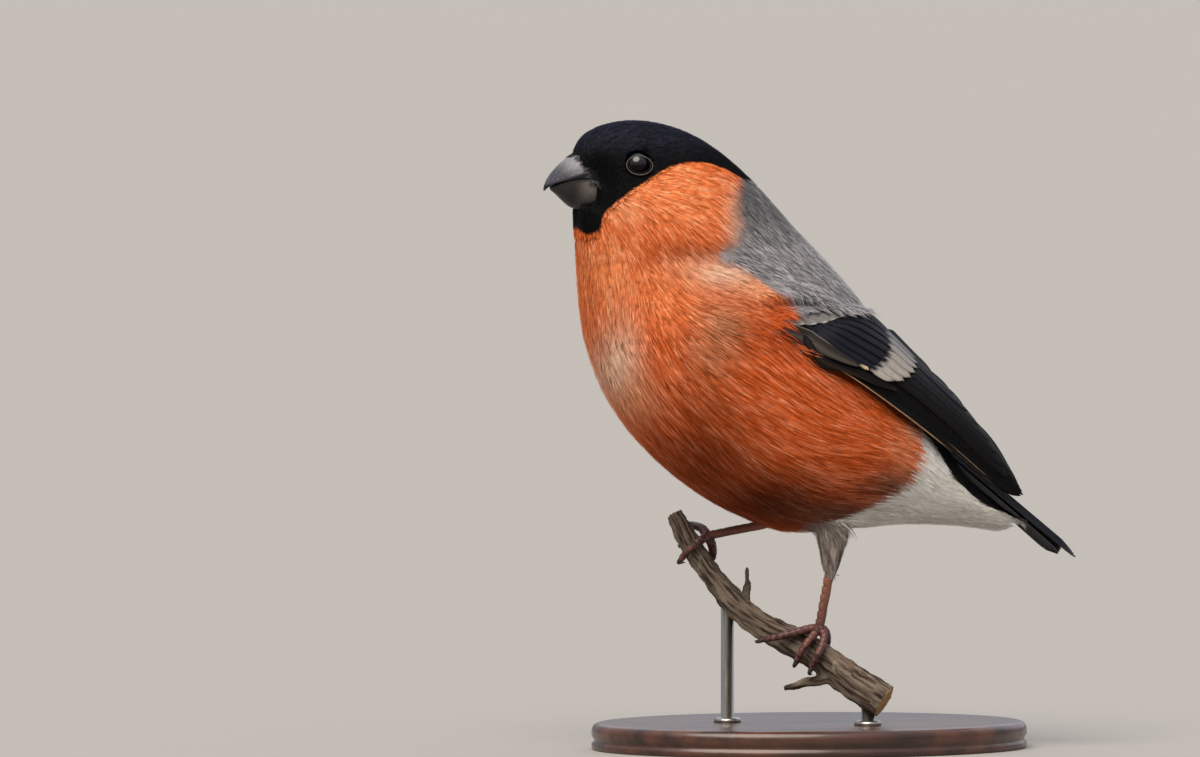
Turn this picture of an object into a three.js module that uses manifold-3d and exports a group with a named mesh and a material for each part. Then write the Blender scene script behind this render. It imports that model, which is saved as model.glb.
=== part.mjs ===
// A male Eurasian bullfinch, life size, perched on a cut length of heather stem over a plain stand.
// The bill points along -X, the bird's left side along -Y, and +Z is up.
// The origin is the middle of the base's underside. Everything is in millimetres.
import * as THREE from "three";
import { mergeVertices } from "three/addons/utils/BufferGeometryUtils.js";
import Module from "manifold-3d";

const wasm = await Module();
wasm.setup();

// Gaps between neighbouring solids.
const partGap = 0.3;
const halfGap = partGap / 2;

// Body outline in the plane of symmetry: each station has its point on the upper outline, its point on
// the lower outline, its half width, how far down from the top it is widest, and how full its sides are.
const bodyStations = [
  { top: [-54.9, 136.4], bottom: [-54.0, 123.2], half: 5.6, widest: 0.48, full: 0.9 },
  { top: [-52.4, 139.8], bottom: [-54.4, 117.7], half: 7.6, widest: 0.48, full: 0.84 },
  { top: [-47.7, 142.1], bottom: [-54.2, 112.3], half: 9.4, widest: 0.48, full: 0.82 },
  { top: [-40.8, 143.0], bottom: [-53.8, 105.9], half: 11.3, widest: 0.45, full: 0.82 },
  { top: [-32.9, 141.8], bottom: [-53.1, 98.2], half: 13.4, widest: 0.46, full: 0.82 },
  { top: [-24.5, 138.2], bottom: [-51.9, 91.8], half: 16.2, widest: 0.48, full: 0.82 },
  { top: [-14.7, 130.6], bottom: [-49.1, 84.0], half: 19.6, widest: 0.52, full: 0.8 },
  { top: [-4.5, 119.6], bottom: [-43.6, 74.4], half: 22.6, widest: 0.54, full: 0.8 },
  { top: [5.2, 109.8], bottom: [-33.8, 63.9], half: 24.6, widest: 0.55, full: 0.8 },
  { top: [13.6, 99.5], bottom: [-20.3, 54.5], half: 25.0, widest: 0.56, full: 0.8 },
  { top: [19.2, 88.9], bottom: [-5.5, 49.4], half: 23.0, widest: 0.56, full: 0.82 },
  { top: [25.6, 78.6], bottom: [9.4, 49.9], half: 18.6, widest: 0.54, full: 0.85 },
  { top: [32.2, 69.6], bottom: [24.5, 50.5], half: 13.0, widest: 0.5, full: 0.9 },
  { top: [39.4, 61.6], bottom: [38.5, 49.5], half: 8.4, widest: 0.5, full: 1.0 },
  { top: [48.4, 53.0], bottom: [52.0, 46.6], half: 3.4, widest: 0.5, full: 1.0 },
];
const bodyRings = 35;
const bodySides = 26;

// Rises and hollows of the plumage on each side, as ovals in side view.
const plumageLumps = [
  { at: [-37.5, 121.0], reach: [11.0, 8.5], turn: 0, rise: 1.0, edge: 0.9 }, // puffed cheek
  { at: [-51.5, 129.0], reach: [4.6, 6.5], turn: 0, rise: -4.0, edge: 0.9 }, // narrow face at the gape
  { at: [-30.0, 112.0], reach: [15.0, 5.0], turn: 17, rise: -0.8, edge: 0.9 }, // fold under the cheek
  { at: [-15.5, 79.0], reach: [37.0, 20.0], turn: -36, rise: 1.7, edge: 0.3 }, // flank over the wing
];

// Thin cuts across the body, each through two points of the plane of symmetry.
const headCut = [[-12.5, 128.0], [-54.5, 114.5]];
const neckCut = [[-3.5, 118.5], [-49.5, 89.5]];
const rumpCut = [[27.1, 80.0], [8.0, 49.5]];
const backCut = [[-28.0, 104.0], [18.0, 70.0]];
const bellyCut = [[-11.0, 90.0], [-38.0, 68.0]];
const tailPlane = [[20.0, 78.3], [61.0, 43.9]];

const eyeRadius = 3.0;
const eyeCentre = [-41.8, 8.7, 132.8];

const billTopStations = [
  { x: -50.6, ridge: 134.6, edge: 128.6, half: 5.5 },
  { x: -55.3, ridge: 135.6, edge: 128.9, half: 4.7 },
  { x: -57.5, ridge: 134.5, edge: 128.7, half: 4.1 },
  { x: -59.6, ridge: 132.4, edge: 128.3, half: 3.0 },
  { x: -60.9, ridge: 130.4, edge: 127.8, half: 1.8 },
  { x: -61.7, ridge: 128.9, edge: 127.2, half: 0.7 },
];
const billBottomStations = [
  { x: -50.6, ridge: 123.9, edge: 128.3, half: 5.2 },
  { x: -55.3, ridge: 123.4, edge: 128.6, half: 4.4 },
  { x: -57.2, ridge: 124.2, edge: 128.4, half: 3.8 },
  { x: -58.8, ridge: 125.6, edge: 128.1, half: 2.8 },
  { x: -60.1, ridge: 126.7, edge: 127.6, half: 1.4 },
];
const billSides = 12;
const billDomePower = 0.9; // 1 is a round dome, less is fuller

// The closed wing of the positive side: its lower edge, its upper edge and how far it bows out between.
const wingStations = [
  { low: [-5.5, 22.2, 95.0], high: [4.5, 15.5, 99.6], arch: 0.9 },
  { low: [-2.5, 23.6, 90.0], high: [11.0, 10.4, 98.4], arch: 2.3 },
  { low: [5.5, 22.4, 85.3], high: [17.5, 6.4, 93.0], arch: 3.0 },
  { low: [15.0, 18.8, 79.5], high: [24.0, 5.0, 86.8], arch: 2.5 },
  { low: [26.0, 14.4, 72.4], high: [32.0, 5.4, 79.6], arch: 1.9 },
  { low: [36.5, 10.6, 64.8], high: [39.6, 6.2, 71.2], arch: 1.1 },
  { low: [43.6, 8.7, 59.4], high: [45.2, 6.6, 62.6], arch: 0.5 },
  { low: [47.6, 7.6, 56.8], high: [48.0, 7.0, 58.0], arch: 0.1 },
];
const wingThickness = 1.8;
const wingEdgeShare = 0.3; // half thickness at the wing's edges, as a share of its full thickness
const wingMiddleShare = 0.2; // what is added to that half way up the wing
const wingRings = 14;
const wingSides = 6;
const coverCut = [[16.5, 95.0], [9.0, 80.0]];
const primaryCut = [[8.0, 88.5], [50.0, 57.8]];

const tailRoot = [26.0, 73.2];
const tailTip = [61.0, 43.9];
const tailRootHalf = 6.5;
const tailTipHalf = 12.5;
const tailThickness = 1.7;
const tailNotch = 2.6;
const tailArch = 1.3;
const tailCorner = 3.2; // how far back the outer corners of the tail's tip are rounded
const tailCornerPower = 6;
const tailTipShare = 0.65; // thickness at the tip
const tailColumns = 12;

// The perch: a bent woody stem, drawn as centre points, and where each foot grips it.
const stemPoints = [
  [13.5, -17.5, 11.2],
  [7.6, -14.2, 15.2],
  [-0.4, -9.2, 21.8],
  [-12.6, -2.6, 28.6],
  [-20.6, 4.4, 37.6],
  [-25.3, 9.2, 45.6],
  [-28.8, 12.0, 53.2],
];
const stemLowRadius = 4.5;
const stemHighRadius = 2.3;
const stemSides = 9;
const stemRings = 14;
const stemEndCap = 0.08; // how much the cut ends narrow
const barkBase = 0.94; // the bark's mean radius, as a share of the stem's nominal one
const barkSwells = [
  { size: 0.035, rate: 23 },
  { size: 0.02, rate: 61 },
];
const twigs = [
  { at: 0.2, turn: 150, length: 7.5, radius: 1.5, lean: 0.8 },
  { at: 0.6, turn: -70, length: 8.5, radius: 1.2, lean: 1.0 },
];
const twigRoot = -1.2; // below the stem's surface
const twigRise = 0.5;
const twigTaper = 0.3;
const twigCap = 0.1;

const baseLength = 100;
const baseWidth = 76;
const baseHeight = 6;
const baseBevel = 1.2;
const rodRadius = 1.5;
const rodFoot = 2.5;
const rodPlaces = [0.07, 0.66];

const limbCap = 0.35;
const tarsusRadius = 1.0;
const tarsusWaist = 0.95; // a leg is thinnest half way, and fuller at the heel and the foot
const tarsusEnds = 0.12;
const tarsusPad = 0.35;
const toeRadius = 1.0;
const toeRoot = 1.02;
const toeTaper = 0.28;
const toeKnuckle = 0.07;
const toeKnuckleRate = 19;
const toeLift = 1.45; // from the stem's surface to the middle of a toe
const padRise = 0.5;
const clawRadius = 0.62;
const clawRoot = 1.05;
const clawTaper = 0.8;
const clawCap = 0.3;
const clawBow = 0.55;
const thighReach = 1.12; // 1 ends at the heel
const thighTaperPower = 1.3;
const thighCap = 0.25;

const plumageBlack = "#14161c";
const plumageOrange = "#d9643a";
const plumageGrey = "#8d8f93";
const plumageWhite = "#dcd8d0";
const wingBlack = "#15151a";
const bareSkin = "#6f4a44";

const hands = { left: -1, right: 1 };

const surface = {
  head: { color: plumageBlack, roughness: 0.6 },
  neck: { color: plumageOrange, roughness: 0.85 },
  breast: { color: plumageOrange, roughness: 0.85 },
  back: { color: plumageGrey, roughness: 0.8 },
  belly: { color: plumageOrange, roughness: 0.85 },
  rump: { color: plumageWhite, roughness: 0.8 },
  undertail: { color: plumageWhite, roughness: 0.85 },
  thigh: { color: "#66625f", roughness: 0.85 },
  wing: { color: wingBlack, roughness: 0.5 },
  tail: { color: wingBlack, roughness: 0.45 },
  bill: { color: "#3a3b40", roughness: 0.35 },
  eye: { color: "#120c09", roughness: 0.05 },
  tarsus: { color: bareSkin, roughness: 0.5 },
  toe: { color: bareSkin, roughness: 0.5 },
  claw: { color: "#2a2320", roughness: 0.35 },
  stem: { color: "#6b523d", roughness: 0.9 },
  base: { color: "#3b2a20", roughness: 0.4 },
  rod: { color: "#b9b9b7", roughness: 0.3, metalness: 1 },
};

const model = new THREE.Group();

function addNode(name, geometry, look) {
  const mesh = new THREE.Mesh(geometry, new THREE.MeshStandardMaterial(surface[look]));
  mesh.name = name;
  model.add(mesh);
  return mesh;
}

// Rings of points, each with the same count, become one closed surface with a fan over each end.
function closedLoft(rings) {
  const sides = rings[0].length;
  const positions = [];
  const faces = [];
  rings.forEach((ring) => ring.forEach((point) => positions.push(point.x, point.y, point.z)));
  for (let ring = 0; ring < rings.length - 1; ring += 1) {
    for (let side = 0; side < sides; side += 1) {
      const next = (side + 1) % sides;
      const a = ring * sides + side;
      const b = ring * sides + next;
      faces.push(a, b, a + sides, b, b + sides, a + sides);
    }
  }
  [0, rings.length - 1].forEach((ring) => {
    const middle = new THREE.Vector3();
    rings[ring].forEach((point) => middle.add(point));
    middle.divideScalar(sides);
    const hub = positions.length / 3;
    positions.push(middle.x, middle.y, middle.z);
    for (let side = 0; side < sides; side += 1) {
      const a = ring * sides + side;
      const b = ring * sides + ((side + 1) % sides);
      faces.push(...(ring === 0 ? [hub, b, a] : [hub, a, b]));
    }
  });
  const geometry = new THREE.BufferGeometry();
  geometry.setAttribute("position", new THREE.Float32BufferAttribute(positions, 3));
  geometry.setIndex(faces);
  return facingOut(geometry);
}

// Six times the signed volume is the sum of the triple products; a negative one means the faces point in.
function facingOut(geometry) {
  const place = geometry.attributes.position;
  const order = geometry.index.array;
  const [a, b, c] = [new THREE.Vector3(), new THREE.Vector3(), new THREE.Vector3()];
  let volume = 0;
  for (let i = 0; i < order.length; i += 3) {
    a.fromBufferAttribute(place, order[i]);
    b.fromBufferAttribute(place, order[i + 1]);
    c.fromBufferAttribute(place, order[i + 2]);
    volume += a.dot(b.cross(c));
  }
  if (volume < 0) {
    const turned = Array.from(order).reverse();
    geometry.setIndex(turned);
  }
  return geometry;
}

function toSolid(geometry) {
  const bare = geometry.clone();
  bare.deleteAttribute("normal");
  bare.deleteAttribute("uv");
  const merged = mergeVertices(bare, 1e-4);
  return new wasm.Manifold(
    new wasm.Mesh({
      numProp: 3,
      vertProperties: merged.attributes.position.array,
      triVerts: new Uint32Array(merged.index.array),
    }),
  );
}

function toGeometry(solid) {
  const mesh = solid.getMesh();
  const geometry = new THREE.BufferGeometry();
  geometry.setAttribute("position", new THREE.BufferAttribute(mesh.vertProperties, mesh.numProp));
  geometry.setIndex(new THREE.BufferAttribute(mesh.triVerts, 1));
  return geometry;
}

function addSolid(name, solid, look) {
  addNode(name, toGeometry(solid), look);
}

function pathThrough(points) {
  return new THREE.CatmullRomCurve3(points.map((p) => (p.isVector3 ? p : new THREE.Vector3(...p))));
}

// The body's upper outline, lower outline and widths as smooth curves along the stations.
const topLine = new THREE.CatmullRomCurve3(
  bodyStations.map((s) => new THREE.Vector3(s.top[0], 0, s.top[1])),
);
const bottomLine = new THREE.CatmullRomCurve3(
  bodyStations.map((s) => new THREE.Vector3(s.bottom[0], 0, s.bottom[1])),
);
const widthLine = new THREE.CatmullRomCurve3(
  bodyStations.map((s) => new THREE.Vector3(s.half, s.widest * 10, s.full * 10)),
);

function bodySection(share) {
  const width = widthLine.getPoint(share);
  return {
    top: topLine.getPoint(share),
    bottom: bottomLine.getPoint(share),
    half: width.x,
    warp: Math.log(width.y / 10) / Math.log(0.5),
    full: width.z / 10,
  };
}

function plumageRise(x, z) {
  let rise = 0;
  plumageLumps.forEach((lump) => {
    const turn = THREE.MathUtils.degToRad(lump.turn);
    const dx = x - lump.at[0];
    const dz = z - lump.at[1];
    const along = (dx * Math.cos(turn) + dz * Math.sin(turn)) / lump.reach[0];
    const across = (dz * Math.cos(turn) - dx * Math.sin(turn)) / lump.reach[1];
    const away = Math.hypot(along, across);
    rise += lump.rise * (1 - THREE.MathUtils.smoothstep(away, 1 - lump.edge, 1 + lump.edge / 3));
  });
  return rise;
}

// Half width of a section at a share of the way down from its top, with the plumage's rises on it.
function sectionSide(section, down, x, z) {
  const plain = THREE.MathUtils.clamp(down, 0, 1) ** (1 / section.warp);
  const round = Math.sqrt(Math.max(0, 1 - (1 - 2 * plain) ** 2));
  return section.half * round ** section.full + plumageRise(x, z) * round;
}

function bodyRing(share) {
  const section = bodySection(share);
  const ring = [];
  for (let side = 0; side < bodySides; side += 1) {
    const angle = (2 * Math.PI * side) / bodySides;
    const down = ((1 - Math.cos(angle)) / 2) ** section.warp;
    const point = section.top.clone().lerp(section.bottom, down);
    point.y = Math.sign(Math.sin(angle)) * sectionSide(section, down, point.x, point.z);
    ring.push(point);
  }
  return ring;
}

function wholeBody() {
  const rings = [];
  for (let ring = 0; ring < bodyRings; ring += 1) rings.push(bodyRing(ring / (bodyRings - 1)));
  return toSolid(closedLoft(rings));
}

// Keeps what lies on one side of a plane that stands on a line of side view. Side 1 is to the right of
// it, looking from its first point to its second, and the cut stands back from the line by half a gap.
function keepSide(solid, line, side) {
  const [[x0, z0], [x1, z1]] = line;
  const length = Math.hypot(x1 - x0, z1 - z0);
  const normal = [((z1 - z0) / length) * side, 0, (-(x1 - x0) / length) * side];
  const offset = normal[0] * x0 + normal[2] * z0 + halfGap;
  return solid.trimByPlane(normal, offset);
}

const wingLow = pathThrough(wingStations.map((station) => station.low));
const wingHigh = pathThrough(wingStations.map((station) => station.high));
const wingArch = pathThrough(wingStations.map((station) => [station.arch, 0, 0]));

// One closed wing of the given side (-1 is the bird's left), grown outwards for cutting its place.
function wingSolid(hand, grow) {
  const rings = [];
  for (let ring = 0; ring < wingRings; ring += 1) {
    const share = ring / (wingRings - 1);
    const low = wingLow.getPoint(share);
    const high = wingHigh.getPoint(share);
    const edge = high.clone().sub(low).normalize();
    const along = wingLow.getTangent(share).add(wingHigh.getTangent(share)).normalize();
    const outward = new THREE.Vector3().crossVectors(along, edge).normalize();
    if (outward.z < 0) outward.negate();
    const bowOut = wingArch.getPoint(share).x;
    const ends = (ring === wingRings - 1 ? grow : 0) - (ring === 0 ? grow : 0);
    const outer = [];
    const inner = [];
    for (let side = 0; side <= wingSides; side += 1) {
      const up = side / wingSides;
      const bow = Math.sin(Math.PI * up);
      const half = wingThickness * (wingEdgeShare + wingMiddleShare * bow) + grow;
      const point = low.clone().lerp(high, up).addScaledVector(outward, bowOut * bow);
      point.addScaledVector(edge, (side === wingSides ? grow : 0) - (side === 0 ? grow : 0));
      point.addScaledVector(along, ends);
      outer.push(point.clone().addScaledVector(outward, half));
      inner.push(point.addScaledVector(outward, -half));
    }
    rings.push([...outer, ...inner.reverse()]);
  }
  rings.forEach((ring) => ring.forEach((point) => point.setY(point.y * hand)));
  return toSolid(closedLoft(rings));
}

function tailSolid(grow) {
  const direction = new THREE.Vector3(tailTip[0] - tailRoot[0], 0, tailTip[1] - tailRoot[1]);
  const length = direction.length();
  direction.normalize();
  const up = new THREE.Vector3(-direction.z, 0, direction.x);
  const rings = [];
  const middleHalf = (tailRootHalf + tailTipHalf) / 2;
  const thick = tailThickness + 2 * grow;
  const tipThick = tailThickness * tailTipShare + 2 * grow;
  for (let column = 0; column <= tailColumns; column += 1) {
    const across = (2 * column) / tailColumns - 1;
    const round = Math.sqrt(Math.max(0, 1 - Math.abs(across) ** tailCornerPower));
    const tipBack = tailNotch * (1 - Math.abs(across)) + tailCorner * (1 - round);
    const drop = tailArch * across * across;
    const ends = [
      { along: -grow, half: tailRootHalf + grow, thick },
      { along: length / 2, half: middleHalf + grow, thick },
      { along: length - tipBack + grow, half: tailTipHalf + grow, thick: tipThick },
    ];
    const ring = [];
    [...ends, ...ends.slice().reverse()].forEach((end, place) => {
      const height = (place < ends.length ? 0.5 : -0.5) * end.thick - drop;
      const point = new THREE.Vector3(tailRoot[0], across * end.half, tailRoot[1]);
      point.addScaledVector(direction, end.along).addScaledVector(up, height);
      ring.push(point);
    });
    rings.push(ring);
  }
  return toSolid(closedLoft(rings));
}

// A tapered round limb along a path, closed at both ends. The cap is how much narrower its ends are.
function limb(path, radiusAt, sides, steps, cap = limbCap) {
  const rings = [];
  const frames = path.computeFrenetFrames(steps, false);
  for (let step = 0; step <= steps; step += 1) {
    const share = step / steps;
    const centre = path.getPointAt(share);
    const radius = radiusAt(share) * (step === 0 || step === steps ? 1 - cap : 1);
    const ring = [];
    for (let side = 0; side < sides; side += 1) {
      const angle = (2 * Math.PI * side) / sides;
      const point = centre.clone();
      point.addScaledVector(frames.normals[step], radius * Math.cos(angle));
      point.addScaledVector(frames.binormals[step], radius * Math.sin(angle));
      ring.push(point);
    }
    rings.push(ring);
  }
  return closedLoft(rings);
}

// Half a bill: a dome from its ridge to its cutting edges, flat between the edges.
function billHalf(stations, grow) {
  const rings = stations.map((station, place) => {
    const ring = [];
    const upright = Math.sign(station.ridge - station.edge);
    const ends = (place === 0 ? grow : 0) - (place === stations.length - 1 ? grow : 0);
    for (let side = 0; side < billSides; side += 1) {
      const angle = (2 * Math.PI * side) / billSides;
      const y = (station.half + grow) * Math.sin(angle);
      const rise = Math.max(0, Math.cos(angle)) ** billDomePower;
      const dome = (station.ridge - station.edge + 2 * upright * grow) * rise;
      ring.push(new THREE.Vector3(station.x + ends, y, station.edge - upright * grow + dome));
    }
    return ring;
  });
  return toSolid(closedLoft(rings));
}

const stemPath = pathThrough(stemPoints);

function stemRadius(share) {
  return THREE.MathUtils.lerp(stemLowRadius, stemHighRadius, share);
}

// The stem's own directions at a share of its length: along it, squarely upwards, and to its near side.
function stemFrame(share) {
  const along = stemPath.getTangentAt(share).normalize();
  const up = new THREE.Vector3(0, 0, 1).addScaledVector(along, -along.z).normalize();
  const near = new THREE.Vector3().crossVectors(up, along).normalize();
  if (near.y > 0) near.negate();
  return { centre: stemPath.getPointAt(share), along, up, near, radius: stemRadius(share) };
}

function onStem(share, turn, clearance) {
  const frame = stemFrame(share);
  const angle = THREE.MathUtils.degToRad(turn);
  const reach = frame.radius + clearance;
  return frame.centre
    .clone()
    .addScaledVector(frame.up, reach * Math.cos(angle))
    .addScaledVector(frame.near, reach * Math.sin(angle));
}

// Bark swells and narrows along the stem, always inside its nominal radius.
function knotty(share) {
  let swell = barkBase;
  barkSwells.forEach((wave) => {
    swell += wave.size * Math.sin(wave.rate * share);
  });
  return stemRadius(share) * swell;
}

function perchSolid(grow) {
  let solid = toSolid(limb(stemPath, (share) => knotty(share) + grow, stemSides, stemRings, stemEndCap));
  twigs.forEach((twig) => {
    const frame = stemFrame(twig.at);
    const root = onStem(twig.at, twig.turn, twigRoot);
    const tip = onStem(twig.at, twig.turn, twig.length);
    tip.addScaledVector(frame.along, twig.length * twig.lean);
    const middle = root.clone().lerp(tip, 0.5).addScaledVector(frame.up, twigRise);
    const path = pathThrough([root, middle, tip]);
    const thickness = (share) => twig.radius * (1 - twigTaper * share) + grow;
    solid = solid.add(toSolid(limb(path, thickness, 6, 4, twigCap)));
  });
  return solid;
}

// Feet: the pad that the toes leave, and each toe as turns round the stem in degrees from its top, with
// shares of the stem's length, ending in the turn and share of its claw. A positive turn goes over the
// near side. A thigh has its upper and its lower radius.
const feet = {
  left: {
    pad: { share: 0.315, turn: 8 },
    heel: [2.2, -11.2, 40.8],
    knee: [3.2, -11.0, 55.0],
    thigh: [4.4, 1.6],
    toes: [
      { name: "hind", turns: [-20, -66, -108], shares: [0.3, 0.29, 0.285], claw: [-146, 0.28] },
      { name: "inner", turns: [34, 76, 108], shares: [0.345, 0.4, 0.455], claw: [142, 0.485] },
      { name: "middle", turns: [34, 82, 124], shares: [0.315, 0.32, 0.325], claw: [160, 0.33] },
      { name: "outer", turns: [28, 74, 114], shares: [0.285, 0.265, 0.26], claw: [152, 0.255] },
    ],
  },
  right: {
    pad: { share: 0.87, turn: -6 },
    heel: [-8.6, 8.6, 50.6],
    knee: [-2.5, 10.0, 57.0],
    thigh: [4.2, 1.8],
    toes: [
      { name: "hind", turns: [26, 74, 122], shares: [0.86, 0.85, 0.845], claw: [162, 0.84] },
      { name: "inner", turns: [-28, -78, -118], shares: [0.845, 0.82, 0.805], claw: [-158, 0.8] },
      { name: "middle", turns: [-34, -88, -132], shares: [0.88, 0.89, 0.9], claw: [-172, 0.905] },
      { name: "outer", turns: [-28, -76, -116], shares: [0.91, 0.945, 0.965], claw: [-154, 0.972] },
    ],
  },
};

function toeSolid(foot, toe, grow) {
  const pad = onStem(foot.pad.share, foot.pad.turn, toeLift + padRise);
  const joints = toe.turns.map((turn, place) => onStem(toe.shares[place], turn, toeLift));
  const path = pathThrough([pad.clone().lerp(joints[0], 0.2), ...joints]);
  const plump = (share) => {
    const knuckles = toeKnuckle * Math.sin(share * toeKnuckleRate);
    return toeRadius * (toeRoot - toeTaper * share + knuckles) + grow;
  };
  return toSolid(limb(path, plump, 7, 6));
}

function clawSolid(toe) {
  const [tipTurn, tipShare] = toe.claw;
  const [endTurn, endShare] = [toe.turns[2], toe.shares[2]];
  const end = onStem(endShare, endTurn, toeLift);
  const tip = onStem(tipShare, tipTurn, clawRadius / 2 + partGap);
  const bend = onStem((endShare + tipShare) / 2, (endTurn * 2 + tipTurn) / 3, toeLift + clawBow);
  const path = pathThrough([end, bend, tip]);
  return toSolid(limb(path, (share) => clawRadius * (clawRoot - clawTaper * share), 5, 4, clawCap));
}

function tarsusSolid(foot, grow) {
  const pad = onStem(foot.pad.share, foot.pad.turn, toeLift + padRise);
  const heel = new THREE.Vector3(...foot.heel);
  const path = pathThrough([heel, heel.clone().lerp(pad, 0.5), pad]);
  const thickness = (share) => {
    const ends = tarsusEnds * (2 * share - 1) ** 2;
    return tarsusRadius * (tarsusWaist + ends + tarsusPad * share ** 8) + grow;
  };
  return toSolid(limb(path, thickness, 8, 7));
}

// The feathered thigh, from inside the belly down over the heel.
function thighSolid(foot, grow) {
  const heel = new THREE.Vector3(...foot.heel);
  const knee = new THREE.Vector3(...foot.knee);
  const low = knee.clone().lerp(heel, thighReach);
  const path = pathThrough([knee, knee.clone().lerp(low, 0.5), low]);
  const [thick, thin] = foot.thigh;
  const thickness = (share) => thick + (thin - thick) * share ** thighTaperPower + grow;
  return toSolid(limb(path, thickness, 10, 6, thighCap));
}

function eyeGeometry(hand, grow) {
  const ball = new THREE.SphereGeometry(eyeRadius + grow, 12, 8);
  return ball.translate(eyeCentre[0], hand * eyeCentre[1], eyeCentre[2]);
}

function rodSolid(place, grow) {
  const centre = stemPath.getPointAt(place);
  const height = centre.z - rodFoot;
  const rod = new THREE.CylinderGeometry(rodRadius + grow, rodRadius + grow, height, 16);
  rod.rotateX(Math.PI / 2).translate(centre.x, centre.y, rodFoot - grow + height / 2);
  return toSolid(rod);
}

function baseSolid() {
  const outline = new THREE.Shape();
  outline.absellipse(0, 0, baseLength / 2 - baseBevel, baseWidth / 2 - baseBevel, 0, 2 * Math.PI);
  const plate = new THREE.ExtrudeGeometry(outline, {
    depth: baseHeight - 2 * baseBevel,
    bevelSize: baseBevel,
    bevelThickness: baseBevel,
    bevelSegments: 1,
    curveSegments: 16,
  });
  return toSolid(plate.translate(0, 0, baseBevel));
}

function buildWings(body) {
  let trunk = body;
  Object.entries(hands).forEach(([name, hand]) => {
    trunk = trunk.subtract(wingSolid(hand, partGap));
    const wing = wingSolid(hand, 0);
    addSolid(`wing_${name}_coverts`, keepSide(wing, coverCut, 1), "wing");
    const flight = keepSide(wing, coverCut, -1);
    addSolid(`wing_${name}_secondaries`, keepSide(flight, primaryCut, -1), "wing");
    addSolid(`wing_${name}_primaries`, keepSide(flight, primaryCut, 1), "wing");
  });
  return trunk;
}

function buildLegs(body) {
  let trunk = body;
  Object.keys(hands).forEach((name) => {
    const foot = feet[name];
    trunk = trunk.subtract(thighSolid(foot, partGap));
    addSolid(`thigh_${name}`, thighSolid(foot, 0).subtract(tarsusSolid(foot, partGap)), "thigh");
    addSolid(`tarsus_${name}`, tarsusSolid(foot, 0), "tarsus");
    let taken = tarsusSolid(foot, partGap);
    foot.toes.forEach((toe) => {
      addSolid(`toe_${name}_${toe.name}`, toeSolid(foot, toe, 0).subtract(taken), "toe");
      const grown = toeSolid(foot, toe, partGap);
      addSolid(`claw_${name}_${toe.name}`, clawSolid(toe).subtract(grown), "claw");
      taken = taken.add(grown);
    });
  });
  return trunk;
}

function buildBody() {
  let body = wholeBody().subtract(tailSolid(partGap));
  Object.values(hands).forEach((hand) => {
    body = body.subtract(toSolid(eyeGeometry(hand, partGap)));
  });
  body = body.subtract(billHalf(billTopStations, partGap)).subtract(billHalf(billBottomStations, partGap));
  body = buildLegs(buildWings(body));
  addSolid("head", keepSide(body, headCut, 1), "head");
  const belowHead = keepSide(body, headCut, -1);
  addSolid("neck", keepSide(belowHead, neckCut, 1), "neck");
  const rear = keepSide(body, rumpCut, -1);
  const trunk = keepSide(keepSide(belowHead, neckCut, -1), rumpCut, 1);
  addSolid("back", keepSide(trunk, backCut, -1), "back");
  const under = keepSide(trunk, backCut, 1);
  addSolid("breast", keepSide(under, bellyCut, 1), "breast");
  addSolid("belly", keepSide(under, bellyCut, -1), "belly");
  addSolid("rump", keepSide(rear, tailPlane, -1), "rump");
  addSolid("undertail", keepSide(rear, tailPlane, 1), "undertail");
}

function buildTail() {
  addSolid("tail", tailSolid(0), "tail");
}

function buildBill() {
  addSolid("bill_upper", billHalf(billTopStations, 0), "bill");
  addSolid("bill_lower", billHalf(billBottomStations, 0), "bill");
}

function buildStand() {
  let base = baseSolid();
  rodPlaces.forEach((place, number) => {
    base = base.subtract(rodSolid(place, partGap));
    addSolid(`stand_rod_${number + 1}`, rodSolid(place, 0).subtract(perchSolid(partGap)), "rod");
  });
  addSolid("stand_base", base, "base");
  addSolid("perch_stem", perchSolid(0), "stem");
}

buildBody();
buildTail();
buildBill();
Object.entries(hands).forEach(([name, hand]) => addNode(`eye_${name}`, eyeGeometry(hand, 0), "eye"));
buildStand();

export default model;
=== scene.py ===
import math
import bmesh
import bpy
import numpy as np
from mathutils import Matrix, Vector
from mathutils.bvhtree import BVHTree


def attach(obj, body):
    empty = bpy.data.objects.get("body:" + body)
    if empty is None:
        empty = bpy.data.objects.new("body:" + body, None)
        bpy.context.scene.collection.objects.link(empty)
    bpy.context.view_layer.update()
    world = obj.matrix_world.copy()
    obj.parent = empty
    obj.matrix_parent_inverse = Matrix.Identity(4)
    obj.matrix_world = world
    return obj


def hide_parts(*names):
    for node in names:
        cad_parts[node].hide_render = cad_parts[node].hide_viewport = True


# A cock bullfinch on a cut stem over a display stand. Blender works in metres; the
# dictionaries below give sizes in millimetres, with the bill along -X and the left side along -Y.
mm = 0.001
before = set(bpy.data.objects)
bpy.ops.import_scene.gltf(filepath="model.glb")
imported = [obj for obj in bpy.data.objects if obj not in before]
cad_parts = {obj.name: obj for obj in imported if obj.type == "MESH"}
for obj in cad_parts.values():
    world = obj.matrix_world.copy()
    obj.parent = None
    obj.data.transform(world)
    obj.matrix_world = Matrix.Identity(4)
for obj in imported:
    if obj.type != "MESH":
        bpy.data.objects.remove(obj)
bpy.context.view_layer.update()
hands = {"left": -1, "right": 1}
print("frame loaded:", len(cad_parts), "parts")


def linear(code):
    # "#rrggbb" as the linear colour that the shaders use
    parts = [int(code[i:i + 2], 16) / 255 for i in (1, 3, 5)]
    return tuple(p / 12.92 if p <= 0.04045 else ((p + 0.055) / 1.055) ** 2.4 for p in parts) + (1.0,)


def tone(code):
    return np.array(linear(code)[:3])


# Finishes

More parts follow.
